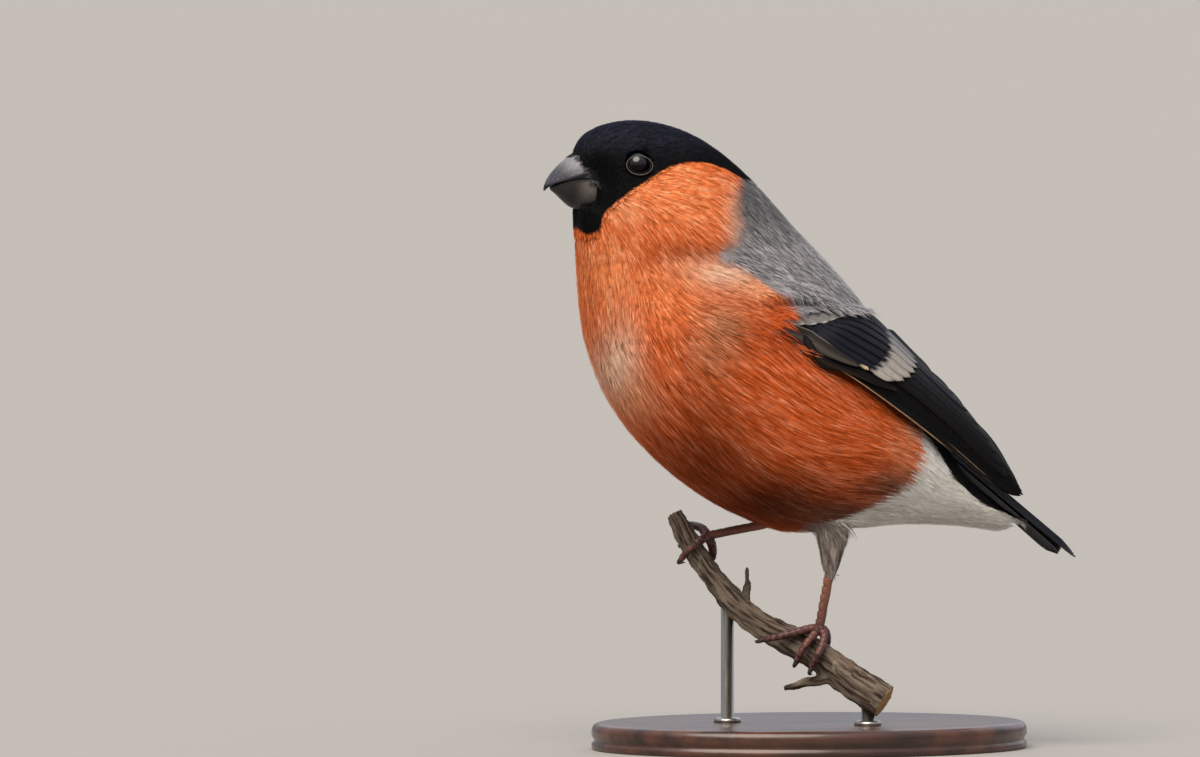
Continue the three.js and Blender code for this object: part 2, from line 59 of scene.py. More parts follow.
class Wire:
    # an output socket of a material; sums written on it add Math nodes
    def __init__(self, tree, socket=None):
        self.tree = tree
        self.socket = socket

    def node(self, kind, settings=None, inputs=None, out=0):
        made = self.tree.nodes.new("ShaderNode" + kind)
        for name, value in (settings or {}).items():
            setattr(made, name, value)
        for name, value in (inputs or {}).items():
            if isinstance(value, Wire):
                self.tree.links.new(value.socket, made.inputs[name])
            else:
                made.inputs[name].default_value = value
        return Wire(self.tree, made.outputs[out])

    def other(self, out):
        # another output of the same node
        return Wire(self.tree, self.socket.node.outputs[out])

    def maths(self, way, a, b=0.0):
        return self.node("Math", {"operation": way}, {0: a, 1: b})

    def __add__(self, other):
        return self.maths("ADD", self, other)

    def __sub__(self, other):
        return self.maths("SUBTRACT", self, other)

    def __rsub__(self, other):
        return self.maths("SUBTRACT", other, self)

    def __mul__(self, other):
        return self.maths("MULTIPLY", self, other)

    __radd__ = __add__
    __rmul__ = __mul__

    def between(self, low, high):
        # 0 at low, 1 at high, smooth
        return self.node("MapRange", {"interpolation_type": "SMOOTHSTEP"},
                         {"Value": self, "From Min": low, "From Max": high})

    def mix(self, a, b):
        # colour a where this is 0, colour b where it is 1; a code stands for its colour
        a, b = (linear(colour) if isinstance(colour, str) else colour for colour in (a, b))
        return self.node("Mix", {"data_type": "RGBA"}, {0: self, 6: a, 7: b}, 2)

    def shade(self, factor):
        # this colour, darker or lighter by a factor
        return self.node("VectorMath", {"operation": "SCALE"}, {0: self, "Scale": factor})


class Finish:
    # one material: its shader's fixed values are given at once, and lay() links what varies
    def __init__(self, name, **fixed):
        self.material = bpy.data.materials.new(name)
        self.material.use_nodes = True
        self.tree = self.material.node_tree
        self.shader = self.tree.nodes["Principled BSDF"]
        self.wire = Wire(self.tree)
        for key, value in fixed.items():
            self.shader.inputs[key.replace("_", " ")].default_value = value

    def lay(self, socket, wire):
        self.tree.links.new(wire.socket, self.shader.inputs[socket])

    def place(self):
        return self.wire.node("TexCoord", out="Object")

    def split(self, vector):
        # the X of a vector; other(1) and other(2) of it are Y and Z
        return self.wire.node("SeparateXYZ", None, {"Vector": vector})

    def noise(self, size, detail=3.0, stretch=None, source=None):
        # cloudy noise with features of a size in millimetres, drawn out by stretch
        vector = source or self.place()
        if stretch:
            vector = self.wire.node("Mapping", None, {"Vector": vector, "Scale": stretch})
        scale = 1 / (size * mm)
        return self.wire.node("TexNoise", None, {"Vector": vector, "Scale": scale, "Detail": detail})

    def attribute(self, name):
        return self.wire.node("Attribute", {"attribute_name": name}, None, "Color")

    def bump(self, height, depth):
        made = self.wire.node("Bump", None, {"Height": height, "Distance": depth * mm, "Strength": 1.0})
        self.lay("Normal", made)


def coatFinish(name, roughness, sheen, sheenTone, gloss):
    finish = Finish(name, Roughness=roughness, Sheen_Weight=sheen, Sheen_Roughness=0.45,
                    Sheen_Tint=linear(sheenTone), Specular_IOR_Level=gloss)
    colour = finish.attribute("plumage")
    finish.lay("Base Color", colour.shade(finish.noise(1.3, 2.0) * 0.3 + 0.85))
    return finish.material


def skinFinish():
    finish = Finish("down", Roughness=0.9, Specular_IOR_Level=0.2)
    colour = finish.attribute("plumage")
    finish.lay("Base Color", colour.shade(finish.noise(0.6, 4.0) * 0.7 + 0.35))
    finish.bump(finish.noise(0.45, 3.0), 0.25)
    return finish.material


def vaneFinish():
    # flight feathers: U runs across the vane and V from its root to its tip
    finish = Finish("flightVane", Roughness=0.5, Specular_IOR_Level=0.09)
    across = finish.split(finish.wire.node("UVMap", {"uv_map": "vane"}))
    offShaft = finish.wire.maths("ABSOLUTE", across - 0.5)
    barbs = finish.wire.maths("SINE", (across.other(1) * 26.0 - offShaft * 9.0) * (2 * math.pi))
    shaft = 1 - offShaft.between(0.012, 0.045)
    mottled = finish.attribute("plumage").shade(barbs * 0.08 + finish.noise(0.9, 3.0) * 0.3 + 0.84)
    finish.lay("Base Color", (shaft * 0.2).mix(mottled, "#2a231d"))
    finish.bump(barbs * 0.5 + shaft * 1.6, 0.05)
    return finish.material


# Shapes

def added(name, data):
    # a new object in the scene
    made = bpy.data.objects.new(name, data)
    bpy.context.scene.collection.objects.link(made)
    return made


def meshOf(name, bm):
    # a bmesh as a mesh; the bmesh is freed
    mesh = bpy.data.meshes.new(name)
    bm.to_mesh(mesh)
    bm.free()
    return mesh


def addPiece(name, source, material, slot, replaces=()):
    # a finished piece from a bmesh or a mesh, at the origin and riding with the bird
    mesh = meshOf(name, source) if isinstance(source, bmesh.types.BMesh) else source
    mesh.name = name
    mesh.materials.append(material)
    mesh.polygons.foreach_set("use_smooth", [True] * len(mesh.polygons))
    piece = added(name, mesh)
    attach(piece, "root")
    if replaces:
        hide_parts(*replaces)
    return piece


def modified(piece, kind, **settings):
    made = piece.modifiers.new(kind.lower(), kind)
    for key, value in settings.items():
        setattr(made, key, value)


def joined(meshes):
    bm = bmesh.new()
    for mesh in meshes:
        bm.from_mesh(mesh)
    return bm


def copyOf(names, swell=0.0):
    # the named CAD parts in one bmesh, each grown by swell millimetres
    bm = joined(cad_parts[name].data for name in names)
    bmesh.ops.remove_doubles(bm, verts=bm.verts, dist=0.01 * mm)
    bm.normal_update()
    for vertex in bm.verts:
        vertex.co += vertex.normal * swell * mm
    return bm


def remeshed(bm, settings):
    # one closed skin round everything in bm, smoothed
    rough = added("rough", meshOf("rough", bm))
    modified(rough, "REMESH", mode="VOXEL", voxel_size=settings["voxel"] * mm)
    modified(rough, "SMOOTH", factor=0.5, iterations=settings["rounds"])
    graph = bpy.context.evaluated_depsgraph_get()
    mesh = bpy.data.meshes.new_from_object(rough.evaluated_get(graph))
    bpy.data.objects.remove(rough)
    return mesh


def treeIn(bm):
    # for rays and nearest places; the bmesh is freed
    tree = BVHTree.FromBMesh(bm)
    bm.free()
    return tree


def perPoint(mesh, key):
    # the points' places ("co") or normals ("normal")
    flat = np.zeros(len(mesh.vertices) * 3)
    mesh.vertices.foreach_get(key, flat)
    return flat.reshape(-1, 3)


def movePoints(mesh, points):
    mesh.vertices.foreach_set("co", (points * mm).ravel())
    mesh.update()


def paintPoints(mesh, colours, name="plumage"):
    layer = mesh.color_attributes.new(name, "FLOAT_COLOR", "POINT")
    layer.data.foreach_set("color", np.hstack([colours, np.ones((len(colours), 1))]).ravel())


def unit(v):
    return v / np.maximum(np.linalg.norm(v, axis=-1, keepdims=True), 1e-9)


def flatTo(way, normals):
    # what is left of a direction once it is laid along the surface
    return way - normals * np.sum(way * normals, axis=-1, keepdims=True)


def smooth(low, high, value):
    share = np.clip((value - low) / (high - low), 0, 1)
    return share * share * (3 - 2 * share)


def blended(a, b, share):
    # a where share is 0, b where it is 1
    return a + (b - a) * share[:, None]


def railPoints(points, share):
    # points on the smooth curve through a few, at shares of the way along it
    points = np.asarray(points, float)
    last = len(points) - 1
    place = np.clip(share, 0, 1) * last
    i = np.minimum(place.astype(int), last - 1)
    f = (place - i)[..., None]
    longer = np.concatenate([[2 * points[0] - points[1]], points, [2 * points[-1] - points[-2]]])
    a, b, c, d = (longer[i + k] for k in range(4))
    bends = (2 * a - 5 * b + 4 * c - d) * f ** 2 + (3 * b - a - 3 * c + d) * f ** 3
    return 0.5 * (2 * b + (c - a) * f + bends)


def mixedCells(grid, spots, soft=False):
    # a grid's value at each spot, mixed from the cells round it; the grid repeats past its ends
    low = np.floor(spots).astype(int)
    f = spots - low
    if soft:
        f = f * f * (3 - 2 * f)
    total = 0
    for corner in np.ndindex(*[2] * spots.shape[-1]):
        weight = np.prod(np.where(corner, f, 1 - f), axis=-1)
        cell = grid[tuple(((low + corner) % grid.shape[:len(corner)]).T)]
        total = total + (weight * cell.T).T
    return total


# Plumage: where each colour lies and which way the feathers run, in side view, the same on both sides

# Some of these colours are painted light and shade: the deepest brown low on the belly and the grey-brown by
# the legs are painted shade, and gloss lightens the top of the crown as a painted sheen.
plumage = {
    "black": "#08080a", "gloss": "#1b1c28", "orange": "#dd6126", "bright": "#fa8b50", "deep": "#aa3c06",
    "bellyShade": "#5c2109", "brown": "#84431f", "peach": "#f6ab7c", "pale": "#f3c7a6", "cream": "#ffd2b4",
    "dull": "#b5835f", "grey": "#69686b", "ash": "#979598", "white": "#fcf6ea", "edgeShade": "#57493f",
    "thigh": "#8e837b",
}
capOutline = [(-66, 150), (-6, 150), (-9, 134), (-13.2, 129.0), (-15.9, 128.9), (-18, 129.8), (-21.3, 131.7),
              (-25.4, 133.1), (-30.2, 133.4), (-34.5, 132.6), (-37.4, 131.2), (-40.9, 129.0), (-44.3, 126.6),
              (-47.3, 124.2), (-49.2, 122.4), (-50.1, 120.8), (-50.4, 119.0), (-50.8, 117.8), (-51.8, 117.1),
              (-52.9, 116.9), (-53.8, 117.3), (-54.4, 118.6), (-54.8, 120.2), (-66, 121)]
backOfCheek = [(-70, 140), (-30, 136), (-16.8, 131), (-18.0, 128.4), (-19.2, 126), (-20.3, 122.6),
               (-19.9, 119.5), (-21.0, 115.4), (-24.6, 112.6), (-24.4, 110.8), (-19.8, 109.2), (-15.7, 106.8),
               (-12.2, 104.0), (-8.6, 101.4), (-6.8, 98.5), (-6.4, 95.5), (0, 91), (12, 84.5)]
endOfFlank = [(21.5, 76.5), (24.2, 70), (23.4, 64.5), (21.0, 60.4), (14, 56.4), (7, 53.2), (-2, 49.5),
              (-10, 42)]
warmOutline = backOfCheek + endOfFlank + [(-70, 60)]
whiteBelow = endOfFlank + [(60, 40), (60, 46.6), (46, 52.6), (38.8, 55.3), (31.6, 60.9), (25.8, 70.0)]
# places down the back where white and then the tail's black begin, and the way that they are measured
rump = {"white": -50.5, "black": -33.5, "down": (0.72, -0.69)}

# Besides the orange's own tones, some spots are painted light and shade. The bright spots high on the cheek
# and down the throat and breast, and the cream spot low on the breast front, are painted light. The brown
# spots are painted shade, in the crease under the cheek and low on the breast. The two darkest spots low on
# the belly are painted shade under it, and the two grey-brown spots along the orange's lower edge by the legs
# are painted shade.
toneSpots = [  # soft spots in the orange: place, reach, colour and strength
    (-35, 129, 12, 5, "bright", 0.95), (-31, 123, 14, 7, "bright", 0.8), (-20, 119, 3, 8, "pale", 0.55),
    (-45, 122, 4.5, 4, "peach", 0.5), (-49, 109, 6, 9, "bright", 0.95), (-29, 112.6, 12, 2.6, "brown", 0.55),
    (-25, 107.9, 9, 3.2, "cream", 1), (-16, 104.8, 5, 2.6, "peach", 0.8), (-36, 104, 10, 8, "bright", 0.75),
    (-50, 99, 4, 8, "bright", 0.35), (-24, 96.5, 6, 6, "dull", 0.75), (-28, 89, 6, 5, "dull", 0.45),
    (-46.5, 87, 4, 9, "cream", 0.9), (-42, 79, 4, 7, "peach", 0.5), (-10, 93, 9, 5, "deep", 0.85),
    (4, 82, 14, 5, "deep", 0.45), (-28, 78, 8, 6, "brown", 0.4), (19, 65, 4, 6, "peach", 0.35),
    (20.8, 74, 0.9, 4, "pale", 0.5), (-27, 66, 11, 9, "bellyShade", 0.65), (-12, 56, 17, 8, "bellyShade", 0.95),
    (16, 60, 8, 3.6, "edgeShade", 0.75), (5, 53.5, 12, 3.5, "edgeShade", 0.8),
]

# Which way the feathers lie: a place in side view, and an angle up from the tail's direction.
lieAnchors = [
    (-55, 137, 52), (-50, 141, 24), (-41, 143, 0), (-30, 141, -20), (-17, 132, -44), (-50, 131, 4),
    (-45, 127, -22), (-53, 121, -74), (-37, 131, -8), (-25, 132, -12), (-32, 127.5, -16), (-22, 121.5, -42),
    (-43, 119.7, -54), (-38, 115.5, -56), (-50, 112, -82), (-53, 105, -86), (-47, 101, -80), (-40, 92.5, -60),
    (-33, 110, -52), (-27, 107.5, -22), (-18, 107, -28), (-11, 102, -38), (-23, 100.5, -18), (-27, 92, -36),
    (-47, 88, -60), (-43, 81, -50), (-31, 82, -42), (-19, 82, -31), (-12, 89, -42), (-3, 83, -33),
    (7, 79, -22), (16, 72, -8), (2, 70, -9), (-7, 68, -22), (-25, 64, -46), (-11, 60, -34), (3, 60, -15),
    (13, 61, -24), (19, 58, -34), (-5, 54, -30), (27, 60, -24), (38, 53, -22), (31, 66, -42),
    (-17, 120.5, -48), (-7, 116, -46), (5, 101, -46), (16, 90, -50), (30, 70, -46),
]
lieSpan = {"x": (-74.0, 75.0), "z": (28.0, 158.0)}  # the side view that the lie is worked out for

# The feathered thighs run from the heel up to the knee; reach is how far their feathers stand off that line.
thighs = {"left": {"heel": (2.2, -11.2, 40.8), "knee": (3.2, -11.0, 55.0), "reach": 5.6},
          "right": {"heel": (-8.6, 8.6, 50.6), "knee": (-2.5, 10.0, 57.0), "reach": 3.4}}


def thighShare(places):
    # how much each place belongs to a feathered thigh
    share = np.zeros(len(places))
    for thigh in thighs.values():
        low, reach = np.array(thigh["heel"]), thigh["reach"]
        axis = thigh["knee"] - low
        run = np.clip((places - low) @ axis / (axis @ axis), -0.2, 1)
        away = np.linalg.norm(places - low - run[:, None] * axis, axis=1)
        share = np.maximum(share, smooth(reach + 0.8, reach - 0.8, away) * smooth(0.85, 0.6, run))
    return share


def insideBy(outline, x, z):
    # how far each point lies inside an outline, negative outside
    points = np.array(outline, float)
    inside = np.zeros(len(x), bool)
    near = np.full(len(x), 1e9)
    for (x0, z0), (x1, z1) in zip(points, np.roll(points, -1, axis=0)):
        crosses = (z0 > z) != (z1 > z)
        level = np.where(abs(z1 - z0) < 1e-9, 1e-9, z1 - z0)
        inside ^= crosses & (x < (x1 - x0) * (z - z0) / level + x0)
        edge = np.array([x1 - x0, z1 - z0])
        share = np.clip(((x - x0) * edge[0] + (z - z0) * edge[1]) / (edge @ edge), 0, 1)
        near = np.minimum(near, np.hypot(x - x0 - share * edge[0], z - z0 - share * edge[1]))
    return np.where(inside, near, -near)


def spotShare(x, z, atX, atZ, wide, high):
    # 1 in the middle of a soft spot, fading outwards
    return np.exp(-((x - atX) / wide) ** 2 - ((z - atZ) / high) ** 2)


def shareOfColours(places, soft=0.5):
    # how much of black, orange and white each place has; the rest is grey
    x, z = places[:, 0], places[:, 2]
    black = smooth(-soft, soft, insideBy(capOutline, x, z))
    # the orange fades loosely behind the cheek and over the front of the wing
    loose = soft + 3.4 * spotShare(x, z, -20, 119, 5, 11) + 1.4 * spotShare(x, z, -9, 101, 5, 5)
    warm = smooth(-loose, loose, insideBy(warmOutline, x, z)) * (1 - black)
    under = smooth(-soft, soft, insideBy(whiteBelow, x, z))
    down = x * rump["down"][0] + z * rump["down"][1]
    over, tailBlack = (smooth(rump[key] - soft, rump[key] + soft, down) for key in ("white", "black"))
    white = np.maximum(under, over * (1 - tailBlack)) * (1 - black) * (1 - warm)
    return np.maximum(black, tailBlack * (1 - under) * (1 - warm)), warm, white


def plumageColour(places, soft=0.5):
    x, z = places[:, 0], places[:, 2]
    dark, warm, white = shareOfColours(places, soft)
    orange = np.tile(tone(plumage["orange"]), (len(x), 1))
    for *spot, name, strength in toneSpots:
        orange = blended(orange, tone(plumage[name]), strength * spotShare(x, z, *spot))
    # the top of the crown turns lighter and bluer: a painted sheen
    black = blended(tone(plumage["black"]), tone(plumage["gloss"]), smooth(133, 140, z))
    grey = blended(tone(plumage["grey"]), tone(plumage["ash"]), smooth(122, 112, z) * smooth(88, 98, z))
    rest = np.clip(1 - dark - warm - white, 0, 1)
    colour = sum(share[:, None] * own for share, own in
                 ((dark, black), (warm, orange), (white, tone(plumage["white"])), (rest, grey)))
    return blended(colour, tone(plumage["thigh"]), thighShare(places))


def lieField():
    # the lie on a grid of the side view, one millimetre apart, weighed from the anchors near each place
    x, z = np.meshgrid(np.arange(*lieSpan["x"]), np.arange(*lieSpan["z"]), indexing="ij")
    anchors = np.array(lieAnchors, float)
    angle = np.radians(anchors[:, 2])
    away = (x[..., None] - anchors[:, 0]) ** 2 + (z[..., None] - anchors[:, 1]) ** 2
    weight = 1 / (away + 4.0) ** 1.8
    return unit(np.stack([weight @ np.cos(angle), weight @ np.sin(angle)], -1))


lieTable = lieField()


def lieAt(places, normals):
    # the way the feathers lie at each place, along the surface
    spots = places[:, [0, 2]] - [lieSpan["x"][0], lieSpan["z"][0]]
    flat = mixedCells(lieTable, np.clip(spots, 0, np.array(lieTable.shape[:2]) - 1.001))
    outward = 0.12 * np.sign(places[:, 1]) * smooth(0, 8, abs(places[:, 1]))
    way = np.stack([flat[:, 0], outward, flat[:, 1]], 1)
    return unit(flatTo(blended(way, np.array([0.1, 0.0, -1.0]), thighShare(places)), normals))


# Skin

skin = {
    # the skin's colour is the plumage's, darkened as painted shade under the coat
    "swell": 0.35, "voxel": 0.75, "rounds": 5, "shadeUnderCoat": 0.6,
    # how deep the coat is on the body, how much less on the head, and what share less at the bill and legs
    "depth": 1.35, "headLess": 0.75, "neck": (108, 124), "billLess": 0.55, "legLess": 0.5,
}
billRoot = (-54, 129)  # the middle of the bill's root in side view
fleshParts = ["head", "neck", "back", "breast", "belly", "rump", "undertail", "thigh_left", "thigh_right"]
eye = {
    "spot": np.array([-41.8, 8.7, 132.8]), "radius": 3.0,
    # rings round it: their half sizes, thickness, tone, height off the head, shift and beads
    "lid": ((2.5, 1.96), 0.38, "#060607", -0.2, (0, 0), 0.0),
    "ring": ((2.86, 2.13), 0.075, "#7f776f", 0.24, (-0.15, 0.0), 0.4),
}


def coatDepth(places):
    # how far the skin lies under the tips of the coat: less at the head, the bill and the legs
    x, z = places[:, 0], places[:, 2]
    depth = skin["depth"] - skin["headLess"] * smooth(*skin["neck"], z)
    depth = depth * (1 - skin["billLess"] * smooth(9, 2, np.hypot(x - billRoot[0], z - billRoot[1])))
    return depth * (1 - skin["legLess"] * smooth(52.5, 48.5, z) * smooth(22, 12, abs(x)))


def buildSkin():
    mesh = remeshed(copyOf(fleshParts, skin["swell"]), skin)
    points = perPoint(mesh, "co") / mm
    points -= perPoint(mesh, "normal") * (skin["swell"] + coatDepth(points))[:, None]
    points = pulledIn(points)
    movePoints(mesh, points)
    # a darker copy of the plumage's colours: painted shade where the skin shows under the coat
    paintPoints(mesh, plumageColour(points) * skin["shadeUnderCoat"])
    plain = mesh.copy()
    bm = joined([mesh])
    head = treeIn(copyOf(["head"]))
    for hand in hands.values():
        side = sideOfHead(head, hand)
        for name in ("lid", "ring"):
            lidRing(bm, hand, side, *eye[name])
    bm.to_mesh(mesh)
    bm.free()
    addPiece("skin", mesh, skinFinish(), "breast_feathers", fleshParts)
    print("skin:", len(mesh.polygons), "faces")
    return plain


def sideOfHead(head, hand):
    # how far out the side of the head lies near the eye, fitted to places round it
    def terms(dx, dz):
        return np.stack([np.ones_like(dx), dx, dz, dx * dx, dz * dz, dx * dz], -1)

    reach, turn = np.meshgrid([4.0, 4.8, 5.6], np.radians(np.arange(0, 360, 15)))
    dx, dz = (reach * np.cos(turn)).ravel(), (reach * np.sin(turn) * 0.85).ravel()
    starts = np.stack([eye["spot"][0] + dx, hand * 30 + 0 * dx, eye["spot"][2] + dz], 1) * mm
    out = [abs(head.ray_cast(Vector(start), Vector((0, -hand, 0)), 60 * mm)[0].y) / mm for start in starts]
    fit = np.linalg.lstsq(terms(dx, dz), np.array(out), rcond=None)[0]
    return lambda dx, dz: terms(dx, dz) @ fit


# Coat: tufts of thin barbs, made as joined meshes from arrays

coatKeys = ("finish", "slot", "barbs", "length", "wide", "barb", "wild", "lift", "reach", "cell", "share",
            "ragged")
coatPieces = {"coat_" + name: dict(zip(coatKeys, values)) for name, *values in [
    ("crown", "cap", "cap", 24000, 2.2, 0.9, 0.14, 0.1, 0.9, 0.8, 0.2, 0.42, 1.0),
    ("face", "cap", "cap", 22000, 1.4, 0.7, 0.13, 0.14, 0.9, 1.0, 0.22, 0.35, 0.6),
    ("cheek", "warm", "breast", 32000, 3.2, 0.9, 0.13, 0.08, 1.0, 1.7, 0.17, 0.15, 0.8),
    ("throat", "warm", "breast", 32000, 4.0, 1.0, 0.14, 0.08, 1.0, 2.0, 0.18, 0.14, 2.0),
    ("breast", "warm", "breast", 32500, 5.6, 1.3, 0.16, 0.08, 1.0, 3.0, 0.21, 0.14, 3.0),
    ("flank", "warm", "breast", 32500, 6.6, 1.3, 0.16, 0.09, 1.0, 4.0, 0.23, 0.19, 4.5),
    ("mantle", "soft", "mantle", 32800, 3.6, 1.0, 0.14, 0.08, 0.95, 1.2, 0.16, 0.45, 2.5),
    ("vent", "soft", "vent", 22000, 5.2, 1.5, 0.22, 0.1, 0.95, 8.0, 0.5, 0.08, 4.0),
    ("thigh", "soft", "thigh", 7200, 4.0, 0.8, 0.16, 0.1, 1.0, 4.0, 0.28, 0.5, 2.0),
]}
coatNames = list(coatPieces)
tuft = {
    "barbs": 6, "patch": 0.003,  # patch: its size on the bake's map
    "length": 0.85, "vary": 0.3, "wisps": 0.05, "wisp": 1.45,  # a few tufts are long wisps
    "settle": 0.6, "turn": 0.7,  # how much of its lean a feather keeps at a station, and takes of the lie
    # the length that is left near the eye, the bill, the tail and the heels, and how far that reaches
    "byEye": (0.5, 3.0, 6.5), "byBill": (0.6, 5.5, 10), "byTail": (0.45, 48, 34), "byHeel": (0.45, -2, 3),
    "pushed": 1.1,  # how strongly the eye's ring turns the feathers round it
}


def pieceOf(places):
    # which coat piece each root belongs to; a later line of the list wins
    x, z = places[:, 0], places[:, 2]
    dark, warm, white = shareOfColours(places, 0.3)
    warm, head = warm > 0.5, (dark > 0.5) & (z > 110)
    which = np.full(len(x), coatNames.index("coat_mantle"))
    for name, where in (("vent", white > 0.5), ("flank", warm), ("breast", warm & (x + z * 0.55 < 25.0)),
                        ("throat", warm & (z > 96)), ("cheek", warm & (z > 114 + 0.1 * (x + 35))),
                        ("crown", head), ("face", head & (z < 135.5) & (x < -34)),
                        ("thigh", thighShare(places) > 0.4)):
        which[where] = coatNames.index("coat_" + name)
    return which


def spreadRoots(mesh, vanes, rng):
    # roots spread evenly over the skin and the shoulders, as many on each piece as it has tufts
    mesh.calc_loop_triangles()
    corners = np.zeros(len(mesh.loop_triangles) * 3, int)
    mesh.loop_triangles.foreach_get("vertices", corners)
    corners = corners.reshape(-1, 3)
    points, normals = perPoint(mesh, "co") / mm, perPoint(mesh, "normal")
    a, b, c = (points[corners[:, k]] for k in range(3))
    square = np.cross(b - a, c - a)
    middle = (a + b + c) / 3
    which = pieceOf(middle)
    bare = hiddenRoots(middle, unit(square), vanes)
    roots, sides, owner = [], [], []
    for number, name in enumerate(coatNames):
        reach = np.cumsum(np.linalg.norm(square, axis=1) / 2 * ((which == number) & ~bare))
        count = coatPieces[name]["barbs"] // tuft["barbs"]
        marks = (np.arange(count) + rng.random(count)) / count * reach[-1]
        chosen = np.searchsorted(reach, marks)
        mixing = rng.random((count, 2))
        over = mixing.sum(1) > 1
        mixing[over] = 1 - mixing[over]
        u, v = mixing[:, :1], mixing[:, 1:]
        roots.append(a[chosen] * (1 - u - v) + b[chosen] * u + c[chosen] * v)
        sides.append(unit(normals[corners[chosen]].mean(1)))
        owner.append(np.full(count, number))
        print(" ", name, "on", round(float(reach[-1])), "mm2")
    return np.concatenate(roots), np.concatenate(sides), np.concatenate(owner)


hides = {
    # how near over a root each thing hides it, and a slant that looks past a gap between two vanes
    "vanes": 4.0, "others": 2.6, "slanted": 3.4, "slant": (0.35, 0, 0.7),
    # round the eye, as a share of its ring; and the body's blunt end, by where it begins and what it faces
    "ring": 1.24, "bluntFrom": 38, "blunt": [((0.87, 0, 0.49), 0.5), ((0.88, 0, -0.47), 0.45)], "end": 49,
    # the bare side of the bill's root: where it begins, its lower edge along x and its upper edge
    "bareFrom": (-49.9, -50.9), "bareLow": ([-55.5, -54.0, -50.5], [122.0, 123.3, 124.0]), "bareHigh": 129.9,
    # how far from the middle the skin ends behind it at each height, and where it is drawn up to the tail
    "inside": ([123.0, 124.0, 125.0, 126.5, 128.5], [0.3, 1.5, 2.6, 3.4, 3.9]), "drawnUp": (43.5, 50.5),
}


def hiddenRoots(places, normals, vanes):
    # under a wing, the tail or the bill, inside the eye's ring, or at the far end of the body
    others = treeIn(copyOf(["tail", "bill_upper", "bill_lower"]))
    slant = Vector(hides["slant"])
    found = np.zeros(len(places), bool)

    def under(tree, start, way, reach):
        return tree.ray_cast(start, way, hides[reach] * mm)[0] is not None

    for i, (place, normal) in enumerate(zip(places, normals)):
        way = Vector(normal)
        start = (Vector(place) + way * 0.05) * mm
        found[i] = (under(vanes, start, way, "vanes") or under(others, start, way, "others")
                    or all(under(vanes, start, way + aside, "slanted") for aside in (slant, -slant)))
    x, y, z = places.T
    wide, high = eye["ring"][0]
    inRing = np.hypot((x - eye["spot"][0]) / wide, (z - eye["spot"][2]) / high) < hides["ring"]
    faces = np.any([normals @ way > least for way, least in hides["blunt"]], axis=0)
    blunt = (x > hides["bluntFrom"]) & faces | (x > hides["end"])
    legEnd = (thighShare(places) > 0.3) & ((normals[:, 2] < -0.55) | ((y > 0) & (z < 53)))
    return found | (inRing & (z > 120)) | blunt | legEnd | (billClear(places) > 0.4)


def billClear(places):
    # 1 where the side of the bill's root is bare
    x, z = places[:, 0], places[:, 2]
    low, high = np.interp(x, *hides["bareLow"]), hides["bareHigh"]
    return smooth(*hides["bareFrom"], x) * smooth(low - 0.3, low + 0.3, z) * smooth(high + 0.5, high - 0.5, z)


def pulledIn(points):
    # the skin drawn in behind the bare side of the bill's root, and up to the tail at its far end
    inside = np.interp(points[:, 2], *hides["inside"])
    share = np.minimum(inside / np.maximum(abs(points[:, 1]), 0.1), 1)
    points[:, 1] *= 1 - billClear(points) * (1 - share)
    (rootX, rootZ), (tipX, tipZ) = tail["root"], tail["tip"]
    under = rootZ + (tipZ - rootZ) * (points[:, 0] - rootX) / (tipX - rootX) - 1.5
    points[:, 2] += smooth(*hides["drawnUp"], points[:, 0]) * 0.75 * np.maximum(under - points[:, 2], 0)
    return points


def shortened(key, away):
    # the share of a feather's length that is left at a distance
    least, low, high = tuft[key]
    return least + (1 - least) * smooth(low, high, away)


def layTufts(roots, normals, owner, tree, rng):
    # each tuft's three stations on what it lies over: root, middle and tip
    count = len(roots)
    length, wild = (np.array([coatPieces[n][key] for n in coatNames])[owner] for key in ("length", "wild"))
    length = length * (tuft["length"] + tuft["vary"] * rng.random(count))
    length *= np.where(rng.random(count) < tuft["wisps"], tuft["wisp"], 1.0)
    turn = (wild * rng.standard_normal(count))[:, None]
    x, z = roots[:, 0], roots[:, 2]
    off = (roots - eye["spot"]) * [1, 0, 1]
    nearEye = np.linalg.norm(off, axis=1)
    nearBill = np.hypot(x - billRoot[0], z - billRoot[1])
    length *= shortened("byEye", nearEye) * shortened("byBill", nearBill) * shortened("byTail", x)
    for thigh in thighs.values():
        length *= shortened("byHeel", np.linalg.norm(roots - thigh["heel"], axis=1) - thigh["reach"])
    push = unit(off) * (smooth(6.0, 3.0, nearEye) * tuft["pushed"])[:, None]
    way = unit(lieAt(roots, normals) + flatTo(push, normals))
    way = unit(way * np.cos(turn) + np.cross(normals, way) * np.sin(turn))
    places, leans, ways = [roots], [normals], [way]
    limit = 0.2 + 0.7 * smooth(40, 45, x)  # how squarely a station has to face its root's way out
    for _ in range(2):
        here, lean, go = places[-1], leans[-1], ways[-1]
        spot, up = here + go * (length / 2)[:, None], np.array(lean)
        for i in range(count):
            start = Vector((spot[i] + lean[i] * 2.5) * mm)
            hit, normal, _face, _far = tree.ray_cast(start, Vector(-lean[i]), 6 * mm)
            if hit is not None and normal.dot(Vector(lean[i])) > limit[i]:
                spot[i] = np.array(hit) / mm
                up[i] = normal
        up = unit(up + lean * tuft["settle"])
        turned = unit(lieAt(spot, up) * tuft["turn"] + go * tuft["settle"])
        places.append(spot)
        leans.append(up)
        ways.append(unit(flatTo(turned, up)))
    return np.stack(places, 1), np.stack(leans, 1), np.stack(ways, 1)


grains = np.random.default_rng(5).random((48, 48, 48)) - 0.5


def cloud(places, cell):
    # a soft random value at each place, the same each time
    return mixedCells(grains, places / cell, soft=True)


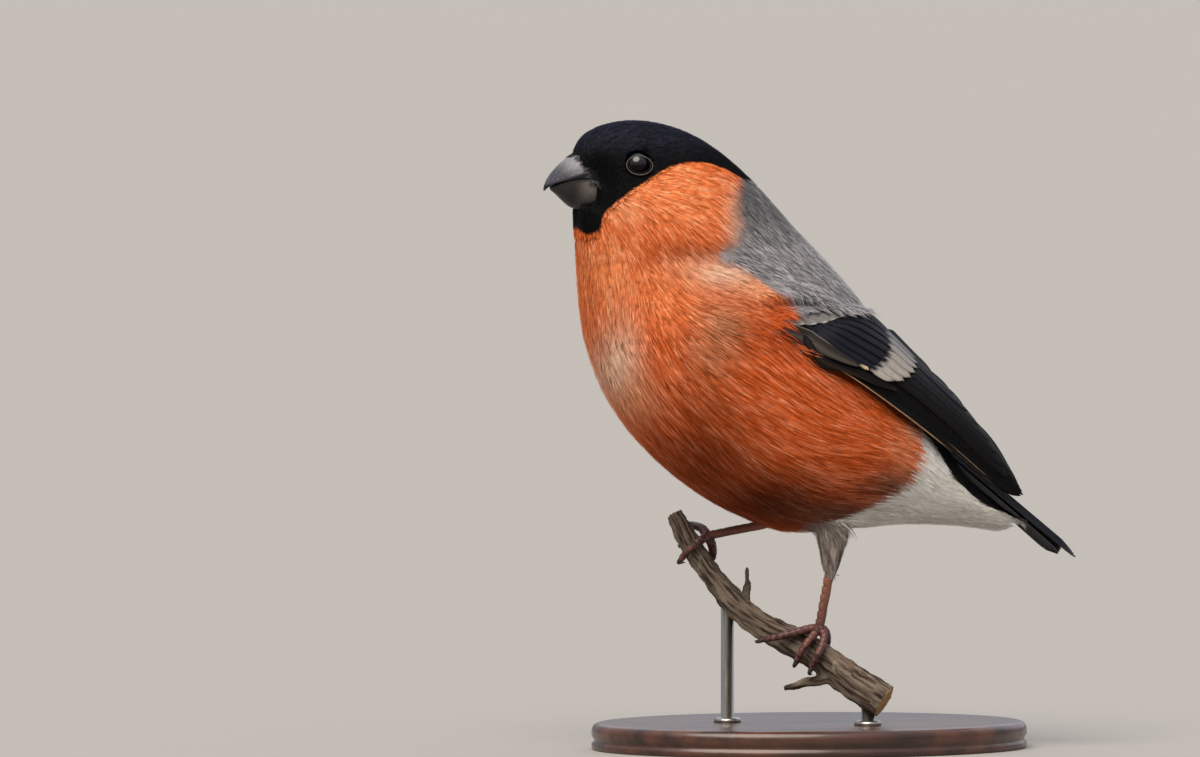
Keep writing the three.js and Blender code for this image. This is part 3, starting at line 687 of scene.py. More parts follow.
def streaks(places, normals, reach, cell):
    # cloudy values averaged along the lie of the coat, so that they run as streaks
    steps = 5
    total = cloud(places, cell)
    for sign in (1, -1):
        spot = places
        for _ in range(steps):
            spot = spot + lieAt(spot, normals) * (sign * reach / 2 / steps)
            total = total + cloud(spot, cell)
    return np.clip(total / total.std(), -2.2, 2.2)


def unwrap(places):
    # the skin laid flat: how far along the body's long axis, and the angle round it
    along = (places[:, 0] + 55) * 0.795 - (places[:, 2] - 130) * 0.606
    height = (places[:, 0] + 48) * 0.606 + (places[:, 2] - 122) * 0.795
    return np.stack([np.arctan2(places[:, 1], height), along], 1)


# A barb has five corners: its root, one edge half way along, a ridge there, the other edge, and its tip.
barb = {"faces": [(0, 1, 2), (0, 2, 3), (1, 4, 2), (2, 4, 3), (0, 3, 1), (1, 3, 4)],
        "patch": [(0, -0.5), (-0.5, 0), (0, 0.04), (0.5, 0), (0, 0.5)],
        # the shares for the five corners darken a barb towards its root as painted shade between the barbs,
        # and lighten its ridge and tip as painted light
        "paintedShading": (0.76, 0.93, 1.02, 0.93, 1.08), "reach": (0.85, 1.12), "high": (0.78, 1.04),
        "thick": (0.8, 1.25), "bow": 0.1, "ridge": 0.05, "sunk": -0.15}


def barbMesh(style, stations, leans, ways, rng):
    # every barb is a thin closed blade, bowed a little to one side
    tufts, barbs = len(stations), tuft["barbs"]
    a = np.linspace(-1, 1, barbs) + rng.uniform(-0.5, 0.5, (tufts, barbs)) * 2 / barbs
    reach = ((1 - 0.15 * a ** 2) * rng.uniform(*barb["reach"], (tufts, barbs)))[..., None]
    depth = coatDepth(stations[:, 0]) * style["lift"]
    high = depth[:, None] * rng.uniform(*barb["high"], (tufts, barbs))
    bow = rng.uniform(-barb["bow"], barb["bow"], (tufts, barbs)) * style["wide"]
    half = style["wide"] / 2
    across = unit(np.cross(leans, ways))
    rise = [np.full((tufts, barbs), barb["sunk"]), high * 0.7, high]
    spread = [a * half * 0.5, a * half + bow, a * half * 0.75 + bow * 1.6]
    root, middle, tip = (stations[:, k, None] + leans[:, k, None] * rise[k][..., None]
                         + across[:, k, None] * spread[k][..., None] for k in range(3))
    tip = (tip - middle) * reach
    middle = root + (middle - root) * reach
    tip = middle + tip
    width = style["barb"] * rng.uniform(*barb["thick"], (tufts, barbs))[..., None] / 2
    each = np.ones((tufts, barbs, 1))
    side = across[:, 1, None] * each
    first, up, last = (leans[:, k, None] * each for k in range(3))
    ridge = middle + up * barb["ridge"]
    points = np.stack([root, middle - side * width, ridge, middle + side * width, tip], 2)
    facing = np.stack([first, up - side * 0.3, up, up + side * 0.3, last], 2)
    faces = (np.arange(tufts * barbs)[:, None, None] * 5 + np.array(barb["faces"])).reshape(-1, 3)
    flat = unwrap(stations[:, 0])
    rootMap = 0.01 + 0.98 * (flat - flat.min(0)) / (flat.max(0) - flat.min(0))
    places = rootMap[:, None, None] + np.array(barb["patch"]) * tuft["patch"] + np.zeros((tufts, barbs, 5, 2))
    paint = barbPaint(style, middle.reshape(-1, 3), tip.reshape(-1, 3), up.reshape(-1, 3), rng)
    return (points.reshape(-1, 3), faces, places.reshape(-1, 2), unit(facing.reshape(-1, 3))), paint


def barbPaint(style, middle, tip, up, rng):
    # the colour of each barb's five corners, from where it shows and from the streak that it lies in, darker
    # at its root and lighter at its tip as painted shade and painted light
    streak = streaks(middle, up, style["reach"], style["cell"])
    band = streaks(middle, up, style["reach"] * 2, style["cell"] * 4)
    slide = unit(tip - middle) * (cloud(middle, 0.25) * style["ragged"])[:, None]
    light = 1 + style["share"] * (streak + 0.25 * band) + rng.normal(0, 0.08, len(middle))
    light = np.clip(light, 0.35, 1.8)[:, None]
    half = plumageColour((middle + tip) / 2 + slide, 0.12)
    far = plumageColour(tip + slide, 0.12)
    if style["finish"] == "warm":
        warmth = np.clip(0.13 * streak + 0.06 * band + rng.normal(0, 0.06, len(middle)), -0.4, 0.32)[:, None]
        for colour in (half, far):
            warm = colour[:, 0] > 2.2 * colour[:, 2]
            bright = np.clip(colour[:, :1] / tone(plumage["orange"])[0], 0.2, 1)
            pale, deep = tone(plumage["pale"]) * bright, tone(plumage["deep"]) * bright
            shift = np.where(warmth > 0, (pale - colour) * warmth, (colour - deep) * warmth)
            colour[warm] += shift[warm]
    # painted shade at the root and painted light along the ridge and at the tip
    corners = [colour * light * share for colour, share in zip((half, half, half, half, far), barb["paintedShading"])]
    return np.clip(np.stack(corners, 1), 0.001, 1).reshape(-1, 3)


def addCoatPiece(name, arrays, paint, material, slot):
    # a piece with the bake's map, whose shading follows the skin under it
    points, faces, places, facing = arrays
    mesh = bpy.data.meshes.new(name)
    mesh.vertices.add(len(points))
    mesh.vertices.foreach_set("co", (points * mm).ravel())
    mesh.loops.add(faces.size)
    mesh.loops.foreach_set("vertex_index", faces.ravel())
    mesh.polygons.add(len(faces))
    mesh.polygons.foreach_set("loop_start", np.arange(0, faces.size, 3))
    mesh.update(calc_edges=True)
    mesh.validate()
    mesh.uv_layers.new(name="OFBake").data.foreach_set("uv", places[faces.ravel()].ravel())
    mesh.polygons.foreach_set("use_smooth", [True] * len(faces))
    mesh.normals_split_custom_set_from_vertices(facing)
    paintPoints(mesh, paint)
    addPiece(name, mesh, material, slot + "_feathers")
    print("coat:", name, len(faces), "triangles")


# The back's feathers come down over the front of the wing; end is how far at each height up the wing.
shoulder = {"start": -0.3, "up": (-0.15, 1.5), "lift": 1.9, "columns": 13, "rows": 21,
            "end": ([-0.15, 0.3, 0.6, 0.8, 0.95, 1.1, 1.5], [-0.23, -0.19, -0.13, -0.04, 0.07, 0.1, 0.12])}


def shoulderPatch(bm, cover):
    # where those feathers root: from the skin up onto the closed wing, and down to the skin above it
    columns, rows = shoulder["columns"], shoulder["rows"]
    for hand in hands.values():
        share, up = np.meshgrid(np.linspace(0, 1, columns), np.linspace(*shoulder["up"], rows))
        along = (shoulder["start"] + share * (np.interp(up, *shoulder["end"]) - shoulder["start"])).ravel()
        rise = (smooth(0, 0.7, share) * smooth(-0.15, 0.2, up) * smooth(1.35, 0.8, up)).ravel()
        places = sheetPoints(hand, along, up.ravel(), shoulder["lift"] + 0 * along)
        places = besideBody(places, along, cover, shoulder["lift"])
        for i in range(len(places)):
            low = offSkin(places[i], cover, 0.05)
            places[i] = low + (places[i] - low) * rise[i]
        made = bmesh.ops.create_grid(bm, x_segments=columns - 1, y_segments=rows - 1, size=1.0)["verts"]
        for vertex in made:
            row = round((vertex.co.y + 1) * (rows - 1) / 2)
            column = round((vertex.co.x + 1) * (columns - 1) / 2)
            vertex.co = Vector(places[row * columns + column]) * mm
        for face in {face for vertex in made for face in vertex.link_faces}:
            face.normal_update()
            if face.normal.dot(Vector((0, hand, 0.5))) < 0:
                face.normal_flip()


bristles = {"axis": 129.2, "rows": 4, "span": 104, "step": 5.0, "corner": 12, "tone": "#a39e9a",
            # the shares for a bristle's five corners: darker at its root and lighter at its tip, painted
            # shade and painted light
            "paintedShading": (0.5, 0.8, 1.0, 0.8, 1.3),
            "edge": ([0, 0.5, 1.2, 1.8], [-56.7, -55.5, -53.6, -51.9]),  # turn from the top, and x there
            "style": {"wide": 0.45, "barb": 0.12, "lift": 0.35, "reach": 1.0, "cell": 0.3, "share": 0.2,
                      "ragged": 0, "finish": "cap"}}


def bristleLines(rng):
    # each as three places along the bill and round its axis, and whether it may be pale
    for row in range(bristles["rows"]):
        for turn in np.radians(np.arange(-bristles["span"], bristles["span"] + 1, bristles["step"])):
            turn = turn + 0.03 * row + rng.normal(0, 0.03)
            edge = np.interp(abs(turn), *bristles["edge"]) + 0.75 * row + rng.normal(0, 0.15)
            fall = 0.05 * np.sign(turn)
            line = [(edge + 2.0, turn - fall), (edge + 0.9, turn), (edge, turn + fall)]
            yield line, row == 0 and abs(turn) > 0.25
    for hand in hands.values():
        for number in range(bristles["corner"]):
            share = number / (bristles["corner"] - 1)
            x = -53.0 + 2.4 * share + rng.normal(0, 0.1)
            turn = hand * math.radians(74 + 12 * share + rng.normal(0, 2))
            fall = hand * math.radians(24 + rng.normal(0, 3))
            yield [(x, turn), (x + 0.9, turn + fall * 0.55), (x + 2.2, turn + fall)], True


def buildBristles(skinCopy, billMeshes):
    # stiff short plumes forward over the bill's root, and bristles back from its corners
    rng = np.random.default_rng(23)
    tree = treeIn(joined([skinCopy, *billMeshes]))
    stations, leans, ways, pale = [], [], [], []
    for line, isPale in bristleLines(rng):
        spots, ups = [], []
        for x, turn in line:
            middle, out = np.array([x, 0, bristles["axis"]]), np.array([0, math.sin(turn), math.cos(turn)])
            hit, normal, _face, _far = tree.ray_cast(Vector((middle + out * 14) * mm), Vector(-out), 14 * mm)
            spots.append(middle + out * 5 if hit is None else np.array(hit) / mm)
            ups.append(out if hit is None else unit(np.array(normal) + out * 0.5))
        stations.append(spots)
        leans.append(ups)
        ways.append([unit(spots[b] - spots[a]) for a, b in ((0, 1), (0, 2), (1, 2))])
        pale.append(isPale)
    arrays, _paint = barbMesh(bristles["style"], *map(np.array, (stations, leans, ways)), rng)
    share = np.repeat(pale, tuft["barbs"]) * rng.uniform(0.0, 0.75, len(pale) * tuft["barbs"]) ** 2
    body = blended(tone(plumage["black"]), tone(bristles["tone"]), share)
    # each bristle darker at its root and lighter at its tip: painted shade and painted light
    paint = np.clip(body[:, None] * np.array(bristles["paintedShading"])[:, None], 0, 1).reshape(-1, 3)
    addCoatPiece("coat_bristles", arrays, paint, coatFinish("bristle", 0.55, 0.0, "#ffffff", 0.2), "cap")


def buildCoat(mesh, vaneMeshes):
    rng = np.random.default_rng(11)
    ground = joined([mesh])
    shoulderPatch(ground, treeIn(joined([mesh])))
    rootMesh = meshOf("roots", ground)
    roots, normals, owner = spreadRoots(rootMesh, treeIn(joined(vaneMeshes)), rng)
    laid = layTufts(roots, normals, owner, treeIn(joined([rootMesh, *vaneMeshes])), rng)
    finishes = {
        "cap": coatFinish("capFeather", 0.7, 0.03, "#8f9bd0", 0.1),
        "warm": coatFinish("warmFeather", 0.85, 0.04, "#ffb080", 0.1),
        "soft": coatFinish("softFeather", 0.75, 0.06, "#eef0ff", 0.2),
    }
    for number, (name, style) in enumerate(coatPieces.items()):
        arrays, paint = barbMesh(style, *(part[owner == number] for part in laid), rng)
        addCoatPiece(name, arrays, paint, finishes[style["finish"]], style["slot"])


# Wings and tail: each feather is a thin vane laid on the wing's or the tail's own sheet

wing = {  # lower edge, upper edge and bow of the closed wing, from the shoulder to its tip
    "low": [(-5.5, 22.2, 95.0), (-2.5, 23.6, 90.0), (5.5, 22.4, 85.3), (15.0, 18.8, 79.5),
            (26.0, 14.4, 72.4), (36.5, 10.6, 64.8), (43.6, 8.7, 59.4), (47.6, 7.6, 56.8)],
    "high": [(4.5, 15.5, 99.6), (11.0, 10.4, 98.4), (17.5, 6.4, 93.0), (24.0, 5.0, 86.8),
             (32.0, 5.4, 79.6), (39.6, 6.2, 71.2), (45.2, 6.6, 62.6), (48.0, 7.0, 58.0)],
    "bow": [0.9, 2.3, 3.0, 2.5, 1.9, 1.1, 0.5, 0.1],
    "reach": 62.0, "thick": 0.16,
    # how far along its front is laid on the body, and how far over the skin, with shares of a vane's lift
    "front": 0.16, "along": (0.1, -0.12), "over": (0.16, 0.08), "gap": 0.45, "close": 0.75, "loose": 0.5,
}

# Rows of wing feathers, from the outermost feather up to the innermost. A place is a share of the way
# along the wing and a share of the way up it; a list is spread evenly over the feathers of the row. Each
# feather has a body, a middle tone, a rim on one side over edgeSpan and an end that starts at endFrom.
# The body tone at a vane's lower edge and on the side under the next vane is painted shade.
plainRow = {"side": -1, "edgeSpan": [(-1, 2)], "endFrom": 2, "fringe": 0, "sunk": 0, "hug": 0}
wingRows = {
    "primaries": {
        "count": 8, "root": [(0.12, 0.06), (0.18, 0.36)], "width": [4.6, 5.4], "lift": [0.0, 0.4],
        "tip": [(0.86, -0.06), (0.94, -0.02), (0.985, 0.1), (1.0, 0.5), (0.98, 0.7), (0.94, 0.8),
                (0.90, 0.85), (0.86, 0.9)],
        "point": 0.5, "tone": "#030303", "middle": "#070607", "end": "#060506",
        "edge": ["#b8976c", "#3d3026", "#8a7864", *["#1c1713"] * 5], "edgeWide": 0.13,
        "edgeSpan": [(0.24, 0.6), (0.62, 0.8), (0.62, 0.74), *[(0.3, 1)] * 5]},
    "secondaries": {
        "count": 6, "root": [(0.2, 0.26), (0.24, 0.75)], "width": [4.4, 5.2], "lift": [0.5, 0.75],
        "tip": [(0.84, 0.42), (0.8, 0.55), (0.76, 0.68), (0.72, 0.78), (0.67, 0.86), (0.62, 0.92)],
        "point": 0.3, "tone": "#08070a", "middle": "#100f13", "end": "#0c0b10",
        "edge": "#211a15", "edgeWide": 0.12, "edgeSpan": [(0.4, 1)]},
    "tertials": {
        "count": 3, "root": [(0.22, 0.8), (0.24, 0.98)], "width": [4.8, 4.6], "lift": [0.9, 1.05],
        "tip": [(0.62, 0.88), (0.56, 0.94), (0.48, 0.98)],
        "point": 0.25, "tone": "#08070b", "middle": "#121118", "end": "#14141c",
        "edge": "#1d1b24", "edgeWide": 0.12, "edgeSpan": [(0.2, 1)]},
    "primaryCoverts": {
        "count": 4, "root": [(0.0, -0.12)], "width": [2.6, 3.4], "lift": [0.5, 0.8],
        "tip": [(0.28, -0.03), (0.33, 0.01), (0.38, 0.06), (0.42, 0.11)],
        "point": 0.45, "tone": "#0a0808", "middle": "#161110", "end": "#2a211b", "endFrom": 0.4,
        "edge": "#3a2f26", "edgeWide": 0.14, "edgeSpan": [(0.1, 1)]},
    "alula": {
        "count": 2, "width": [2.8, 4.0], "lift": [1.3, 1.55],
        "paths": [[(-0.12, -0.42), (0.0, -0.28), (0.09, -0.16), (0.16, -0.09), (0.245, -0.06)],
                  [(-0.15, -0.28), (-0.04, -0.15), (0.06, -0.03), (0.14, 0.035), (0.27, 0.06)]],
        "point": 0.5, "tone": ["#1a1615", "#2a2522"], "middle": ["#2e2826", "#4a423e"], "end": "#3a3430",
        "side": [-1, 1], "edge": ["#b0a594", "#8f8578"], "edgeWide": 0.18,
        "edgeSpan": [(-0.02, 0.15), (-1, 0.12)], "sunk": 0.2, "hug": 0.15},
    "greaterCoverts": {
        "count": 8, "root": [(-0.12, 0.2), (-0.1, 0.34), (-0.03, 0.6), (0.06, 0.9)],
        "width": [3.6, 4.3, 4.3, 4.3], "lift": [0.95, 1.2],
        "tip": [(0.31, 0.15), (0.385, 0.18), (0.408, 0.27), (0.418, 0.39), (0.42, 0.52), (0.418, 0.66),
                (0.412, 0.8), (0.4, 0.93)],
        # their dark rim along each lower edge is a painted shadow line between the coverts
        "point": 0.13, "tone": "#050507", "middle": "#1a1b25", "edge": "#040406", "edgeWide": 0.22,
        "end": ["#d2c096", "#b4aaa1", "#aea59d", "#a69e97", "#9c9690", "#908b89", "#7e7c7e", "#6a6a6d"],
        "endFrom": [0.275, 0.315, 0.315, 0.315, 0.303, 0.287, 0.267, 0.245]},
    "medianCoverts": {
        "count": 5, "root": [(-0.15, 0.16), (-0.13, 0.42), (-0.08, 0.7)], "width": 4.6, "lift": [1.25, 1.4],
        "tip": [(-0.045, 0.12), (-0.02, 0.26), (0.0, 0.43), (0.01, 0.6), (0.03, 0.78)],
        "point": 0.4, "tone": "#5a5756", "middle": "#777472", "end": "#8b8784",
        "edge": "#b0aba6", "edgeWide": 0.2, "fringe": 0.8, "sunk": 0.6},
}
wingPieces = {"coverts": ["primaryCoverts", "alula", "greaterCoverts", "medianCoverts"],
              "secondaries": ["secondaries", "tertials"], "primaries": ["primaries"]}
# the tail's feathers are a shade lighter and bluer along their outer edges: a painted sheen
tail = {"root": (26.0, 73.2), "tip": (61.0, 43.9), "half": (6.5, 12.5), "arch": 1.3, "feathers": 6,
        "wide": 8.6, "lift": (0.62, -0.55), "short": 0.055, "thick": 0.16,
        "tone": "#060608", "edge": "#14151c"}


def sheetPoints(hand, along, up, lift):
    # places on the wing's outer sheet, in millimetres; it runs on straight past either end
    share = np.clip(along, 0, 1)
    low, high = railPoints(wing["low"], share), railPoints(wing["high"], share)
    ahead, behind = np.minimum(share + 0.004, 1), np.maximum(share - 0.004, 0)
    run = unit(sum(unit(railPoints(wing[k], ahead) - railPoints(wing[k], behind)) for k in ("low", "high")))
    out = unit(np.cross(run, high - low))
    out = out * np.sign(out[..., 2:])
    bow = np.interp(share, np.linspace(0, 1, len(wing["bow"])), wing["bow"])
    lift = lift + bow * np.sin(np.pi * np.clip(up, 0, 1))
    place = low + (high - low) * up[..., None] + out * lift[..., None]
    return (place + run * (along - share)[..., None] * wing["reach"]) * [1, hand, 1]


def offSkin(spot, cover, height):
    # the place at a height over the nearest point of the skin
    near, normal, _face, _far = cover.find_nearest(Vector(spot) * mm)
    return np.array(near / mm + normal * height)


def laidOver(spot, cover, lift):
    # a vane's place lifted off whatever stands higher than it
    out = Vector((0, math.copysign(0.9, spot[1]), 0.44)).normalized()
    hit = cover.ray_cast((Vector(spot) + out * 6) * mm, -out, 7 * mm)[0]
    if hit is None:
        return spot
    over = hit / mm + out * lift
    return np.array(over) if (over - Vector(spot)).dot(out) > 0 else spot


def besideBody(spots, along, cover, lift):
    # places on the wing's sheet laid along the body in front of the wing, and never under its skin
    lift = np.broadcast_to(lift, along.shape)
    for i in np.nonzero(along < wing["front"])[0]:
        close = offSkin(spots[i], cover, wing["gap"] + wing["close"] * lift[i])
        spots[i] += (close - spots[i]) * smooth(*wing["along"], along[i])
        over = (wing["gap"] + wing["loose"] * lift[i]) * smooth(*wing["over"], along[i])
        spots[i] = laidOver(spots[i], cover, over)
    return spots


def forFeather(row, key, share):
    # a row's value for one feather: its only one, or from its list; codes become colours
    values = row[key] if isinstance(row[key], list) else [row[key]]
    values = np.array([tone(value) if isinstance(value, str) else np.atleast_1d(value) for value in values])
    place = share * (len(values) - 1)
    i = min(int(place), max(len(values) - 2, 0))
    return values[i] + (values[min(i + 1, len(values) - 1)] - values[i]) * (place - i)


def vaneShape(share, point):
    # how wide a vane is at shares of its length, rounded or pointed at its tip
    root = np.clip(share / 0.1, 0.06, 1) ** 0.5
    past = np.clip((share - 1 + point) / point, 0, 1)
    return np.maximum(root * (1 - past ** 2.2) ** 0.5, 0.03)


def addVane(bm, placeAt, colourAt, columns=9, rows=26):
    # a grid bent to the vane: placeAt and colourAt take the shares along and across (-1 to 1)
    layer = bm.verts.layers.float_color["plumage"]
    made = bmesh.ops.create_grid(bm, x_segments=columns - 1, y_segments=rows - 1, size=1.0, calc_uvs=True)
    flat = np.array([vertex.co[:2] for vertex in made["verts"]])
    across = np.sign(flat[:, 0]) * abs(flat[:, 0]) ** 0.8
    along = (flat[:, 1] + 1) / 2
    for vertex, place, colour in zip(made["verts"], placeAt(along, across), colourAt(along, across)):
        vertex[layer] = (*colour, 1.0)
        vertex.co = Vector(place) * mm


def newVanes():
    bm = bmesh.new()
    bm.loops.layers.uv.new("vane")
    bm.verts.layers.float_color.new("plumage")
    return bm


def vanePiece(name, bm, finish, thick, part):
    piece = addPiece(name, bm, finish, "flight_feathers", [part])
    modified(piece, "SOLIDIFY", thickness=thick * mm, offset=0, use_even_offset=False)
    return piece.data


def addWingRow(bm, hand, row, cover):
    for number in range(row["count"]):
        share = number / (row["count"] - 1)
        edgeSpan = forFeather(row, "edgeSpan", share)
        width, lift, point, endFrom, side = (
            forFeather(row, key, share)[0] for key in ("width", "lift", "point", "endFrom", "side"))
        body, middle, rim, end = (forFeather(row, key, share) for key in ("tone", "middle", "edge", "end"))
        if "paths" in row:
            line = row["paths"][number]
        else:
            line = [forFeather(row, key, share) for key in ("root", "tip")]

        def placeAt(along, across):
            place = railPoints(line, along)
            inner = np.clip(place[:, 0], 0, 1)
            span = np.linalg.norm(railPoints(wing["high"], inner) - railPoints(wing["low"], inner), axis=1)
            up = place[:, 1] + across * width / 2 * vaneShape(along, point) / np.maximum(span, 3)
            bend = 0.22 * (1 - across * across) - 0.2 * across
            spots = sheetPoints(hand, place[:, 0], up, lift + bend)
            if not cover:
                return spots
            spots = besideBody(spots, place[:, 0], cover, lift + bend)
            # a lower edge that hugs the body, and a root that is sunk into the coat
            for key, amount, height in (("hug", smooth(0.0, -0.16, up), row["hug"] + lift * 0.5 + bend),
                                        ("sunk", smooth(row["sunk"] or 1, 0, along), 0 * bend - 0.3)):
                for i in np.nonzero(amount * row[key])[0]:
                    spots[i] += (offSkin(spots[i], cover, height[i]) - spots[i]) * amount[i]
            return spots

        def colourAt(along, across):
            run = railPoints(line, along)[:, 0]
            # the body tone at the lower edge and on the side under the next vane is painted shade; the middle
            # tone shows between
            colour = blended(body, middle, smooth(-1.0, -0.6, across) * smooth(0.25, -0.2, across))
            atRim = (smooth(1 - row["edgeWide"], 1 - row["edgeWide"] * 0.3, across * side)
                     * smooth(edgeSpan[0] - 0.03, edgeSpan[0] + 0.03, run)
                     * smooth(edgeSpan[1] + 0.03, edgeSpan[1] - 0.03, run))
            colour = blended(colour, rim, np.maximum(atRim, row["fringe"] * smooth(0.86, 0.94, along)))
            wavy = run + 0.008 * np.sin(across * 7 + number)
            return blended(colour, end, smooth(endFrom - 0.006, endFrom + 0.006, wavy))

        addVane(bm, placeAt, colourAt, 11, 34)


def buildWings(cover, finish):
    made = []
    for side, hand in hands.items():
        for name, rows in wingPieces.items():
            bm = newVanes()
            for row in rows:
                addWingRow(bm, hand, {**plainRow, **wingRows[row]}, cover if name == "coverts" else None)
            if hand < 0:
                bmesh.ops.reverse_faces(bm, faces=bm.faces)
            part = f"wing_{side}_{name}"
            made.append(vanePiece(part + "_feathers", bm, finish, wing["thick"], part))
    print("wings laid")
    return made


def tailPoints(along, across, lift, half):
    # places on the arched tail, at shares of its length and millimetres to either side
    (rootX, rootZ), (tipX, tipZ) = tail["root"], tail["tip"]
    way = np.array([tipX - rootX, 0, tipZ - rootZ])
    up = unit(np.array([-way[2], 0, way[0]]))
    rise = lift - tail["arch"] * (across / half) ** 2
    start = np.stack([across * 0 + rootX, across, across * 0 + rootZ], 1)
    return start + way * along[:, None] + up * rise[:, None]


def buildTail(finish):
    bm = newVanes()
    count = tail["feathers"]
    (narrow, broad), (top, bottom) = tail["half"], tail["lift"]
    for hand in hands.values():
        for number in range(count):
            share = (number + 0.35) / count
            lift = top + (bottom - top) * number / (count - 1) - 0.03 * (hand > 0)
            reach = 1.0 - tail["short"] * (1 - share)

            def placeAt(along, across):
                middle = hand * (narrow + (broad - narrow) * along) * share * 0.72
                wide = tail["wide"] * (0.45 + 0.55 * along) / 2 * vaneShape(along, 0.09)
                half = narrow + (broad - narrow) * along * reach
                bend = 0.16 * (1 - across * across)
                return tailPoints(along * reach, middle + across * wide, lift + bend, half)

            def colourAt(along, across):
                # lighter and bluer towards the outer edge: painted sheen
                return blended(tone(tail["tone"]), tone(tail["edge"]), smooth(0.75, 0.95, across * hand))

            addVane(bm, placeAt, colourAt)
    print("tail laid")
    return vanePiece("tail_feathers", bm, finish, tail["thick"], "tail")


# Bill, eyes and lids

bill = {
    "sides": 28, "rings": 18,
    "upper": [(-49.6, 133.4, 129.4, 5.3), (-52.6, 134.8, 129.8, 5.15), (-55.3, 135.0, 129.6, 4.7),
              (-57.5, 133.5, 129.2, 4.0), (-59.6, 131.4, 128.6, 2.9), (-60.9, 129.6, 127.8, 1.8),
              (-61.7, 127.9, 126.8, 0.6)],  # x, ridge, cutting edge, half width
    "lower": [(-49.6, 122.9, 129.0, 5.3), (-52.6, 122.6, 129.5, 4.95), (-55.3, 123.0, 129.3, 4.4),
              (-57.2, 124.4, 129.0, 3.7), (-58.8, 126.0, 128.4, 2.6), (-60.2, 127.1, 127.8, 1.3)],
}
# colours of the sides, ridge and rear, the upper half's pale top being a painted reflection of the sky and
# the dark band where the halves come together painted shade; each band's slope and where it begins and ends,
# in metres
horn = {
    "upper": {"slope": -0.8, "ridge": (0.0835, 0.0895), "side": "#3c3d46", "top": "#7c7b82", "wear": 0.35,
              "rear": (-0.0535, -0.0515), "back": "#2c2c30", "shadeSlope": 0.36, "shadeBand": (0.1507, 0.1499)},
    "lower": {"slope": 0.0, "ridge": (0.1245, 0.1285), "side": "#140d0a", "top": "#242122", "wear": 0.0,
              "rear": (-0.0560, -0.0512), "back": "#6b645e", "shadeSlope": 0.09, "shadeBand": (0.1336, 0.1341)},
}


def edgesOf(bm, ring):
    return [bm.edges.get(pair) for pair in zip(ring, ring[1:] + ring[:1])]


def loft(bm, rings):
    # one ring of points extruded into the next, with both ends closed
    ring = bmesh.ops.create_circle(bm, segments=len(rings[0]), radius=1.0)["verts"]
    first = ring
    for vertex, point in zip(ring, rings[0]):
        vertex.co = Vector(point) * mm
    for points in rings[1:]:
        made = bmesh.ops.extrude_edge_only(bm, edges=edgesOf(bm, ring))["geom"]
        fresh = {g for g in made if isinstance(g, bmesh.types.BMVert)}
        ring = [next(e.other_vert(v) for e in v.link_edges if e.other_vert(v) in fresh) for v in ring]
        for vertex, point in zip(ring, points):
            vertex.co = Vector(point) * mm
    for end in (first, ring):
        bmesh.ops.edgeloop_fill(bm, edges=edgesOf(bm, end))
    bmesh.ops.recalc_face_normals(bm, faces=bm.faces)


def billRings(stations):
    # a dome over flat cutting edges at each place along the bill, with a soft ridge along its top
    angle = 2 * np.pi * np.arange(bill["sides"]) / bill["sides"]
    dome = np.maximum(0, np.cos(angle)) ** 0.85 - 0.054 * np.maximum(0, -np.cos(angle))
    for x, ridge, edge, half in railPoints(stations, np.linspace(0, 1, bill["rings"])):
        yield np.stack([x + 0 * angle, half * np.sin(angle), edge + (ridge - edge) * dome], 1)


def hornFinish(name, half):
    # pale along the ridge as a painted reflection of the sky and grey down the sides, dark with painted shade
    # where the halves come together
    finish = Finish(name + "Horn", Roughness=0.42, Specular_IOR_Level=0.35)
    along = finish.split(finish.place())
    height = along.other(2)
    streaky = finish.noise(0.45, 4.0, stretch=(0.3, 1.0, 0.6))
    scratches = finish.noise(0.3, 3.0, stretch=(0.25, 1.0, 1.6)).between(0.6, 0.72)
    # the pale top is a painted reflection of the sky along the ridge
    grey = (height - along * half["slope"]).between(*half["ridge"]).mix(half["side"], half["top"])
    worn = (scratches * half["wear"]).mix(grey, "#c9c8c6")
    whole = along.between(*half["rear"]).mix(worn, half["back"]).shade(streaky * 0.9 + 0.55)
    # painted shade along the gap where the upper half overhangs the lower
    overhangShade = (height - along * half["shadeSlope"]).between(*half["shadeBand"])
    finish.lay("Base Color", overhangShade.mix(whole, "#0d0b0b"))
    finish.lay("Roughness", streaky * 0.25 + 0.32)
    finish.bump(streaky + scratches * 0.4, 0.07)
    return finish.material


def buildBill():
    made = []
    for half in ("upper", "lower"):
        bm = bmesh.new()
        loft(bm, list(billRings(bill[half])))
        piece = addPiece(f"bill_{half}_horn", bm, hornFinish(half, horn[half]), "bill_horn", [f"bill_{half}"])
        modified(piece, "SUBSURF", levels=1, render_levels=1)
        made.append(piece.data)
    return made


def eyeFinish():
    # near black; only its upper half is glossy enough to show the sky
    finish = Finish("eyeGloss", Roughness=0.25, Specular_IOR_Level=0.1, Coat_Roughness=0.1, Coat_IOR=1.5)
    middle = eye["spot"][2]
    upper = finish.split(finish.place()).other(2).between((middle - 0.1) * mm, (middle + 0.35) * mm)
    finish.lay("Base Color", upper.mix("#0d0705", "#06080b"))
    finish.lay("Coat Weight", upper)
    return finish.material


def buildEyes():
    finish = eyeFinish()
    turn = Matrix.Rotation(math.pi / 2, 4, "X")
    for side, hand in hands.items():
        bm = bmesh.new()
        bmesh.ops.create_uvsphere(bm, u_segments=48, v_segments=32, radius=eye["radius"] * mm,
                                  matrix=Matrix.Translation(Vector(eye["spot"] * [1, hand, 1]) * mm) @ turn)
        addPiece(f"eyeball_{side}", bm, finish, "eye_gloss", [f"eye_{side}"])


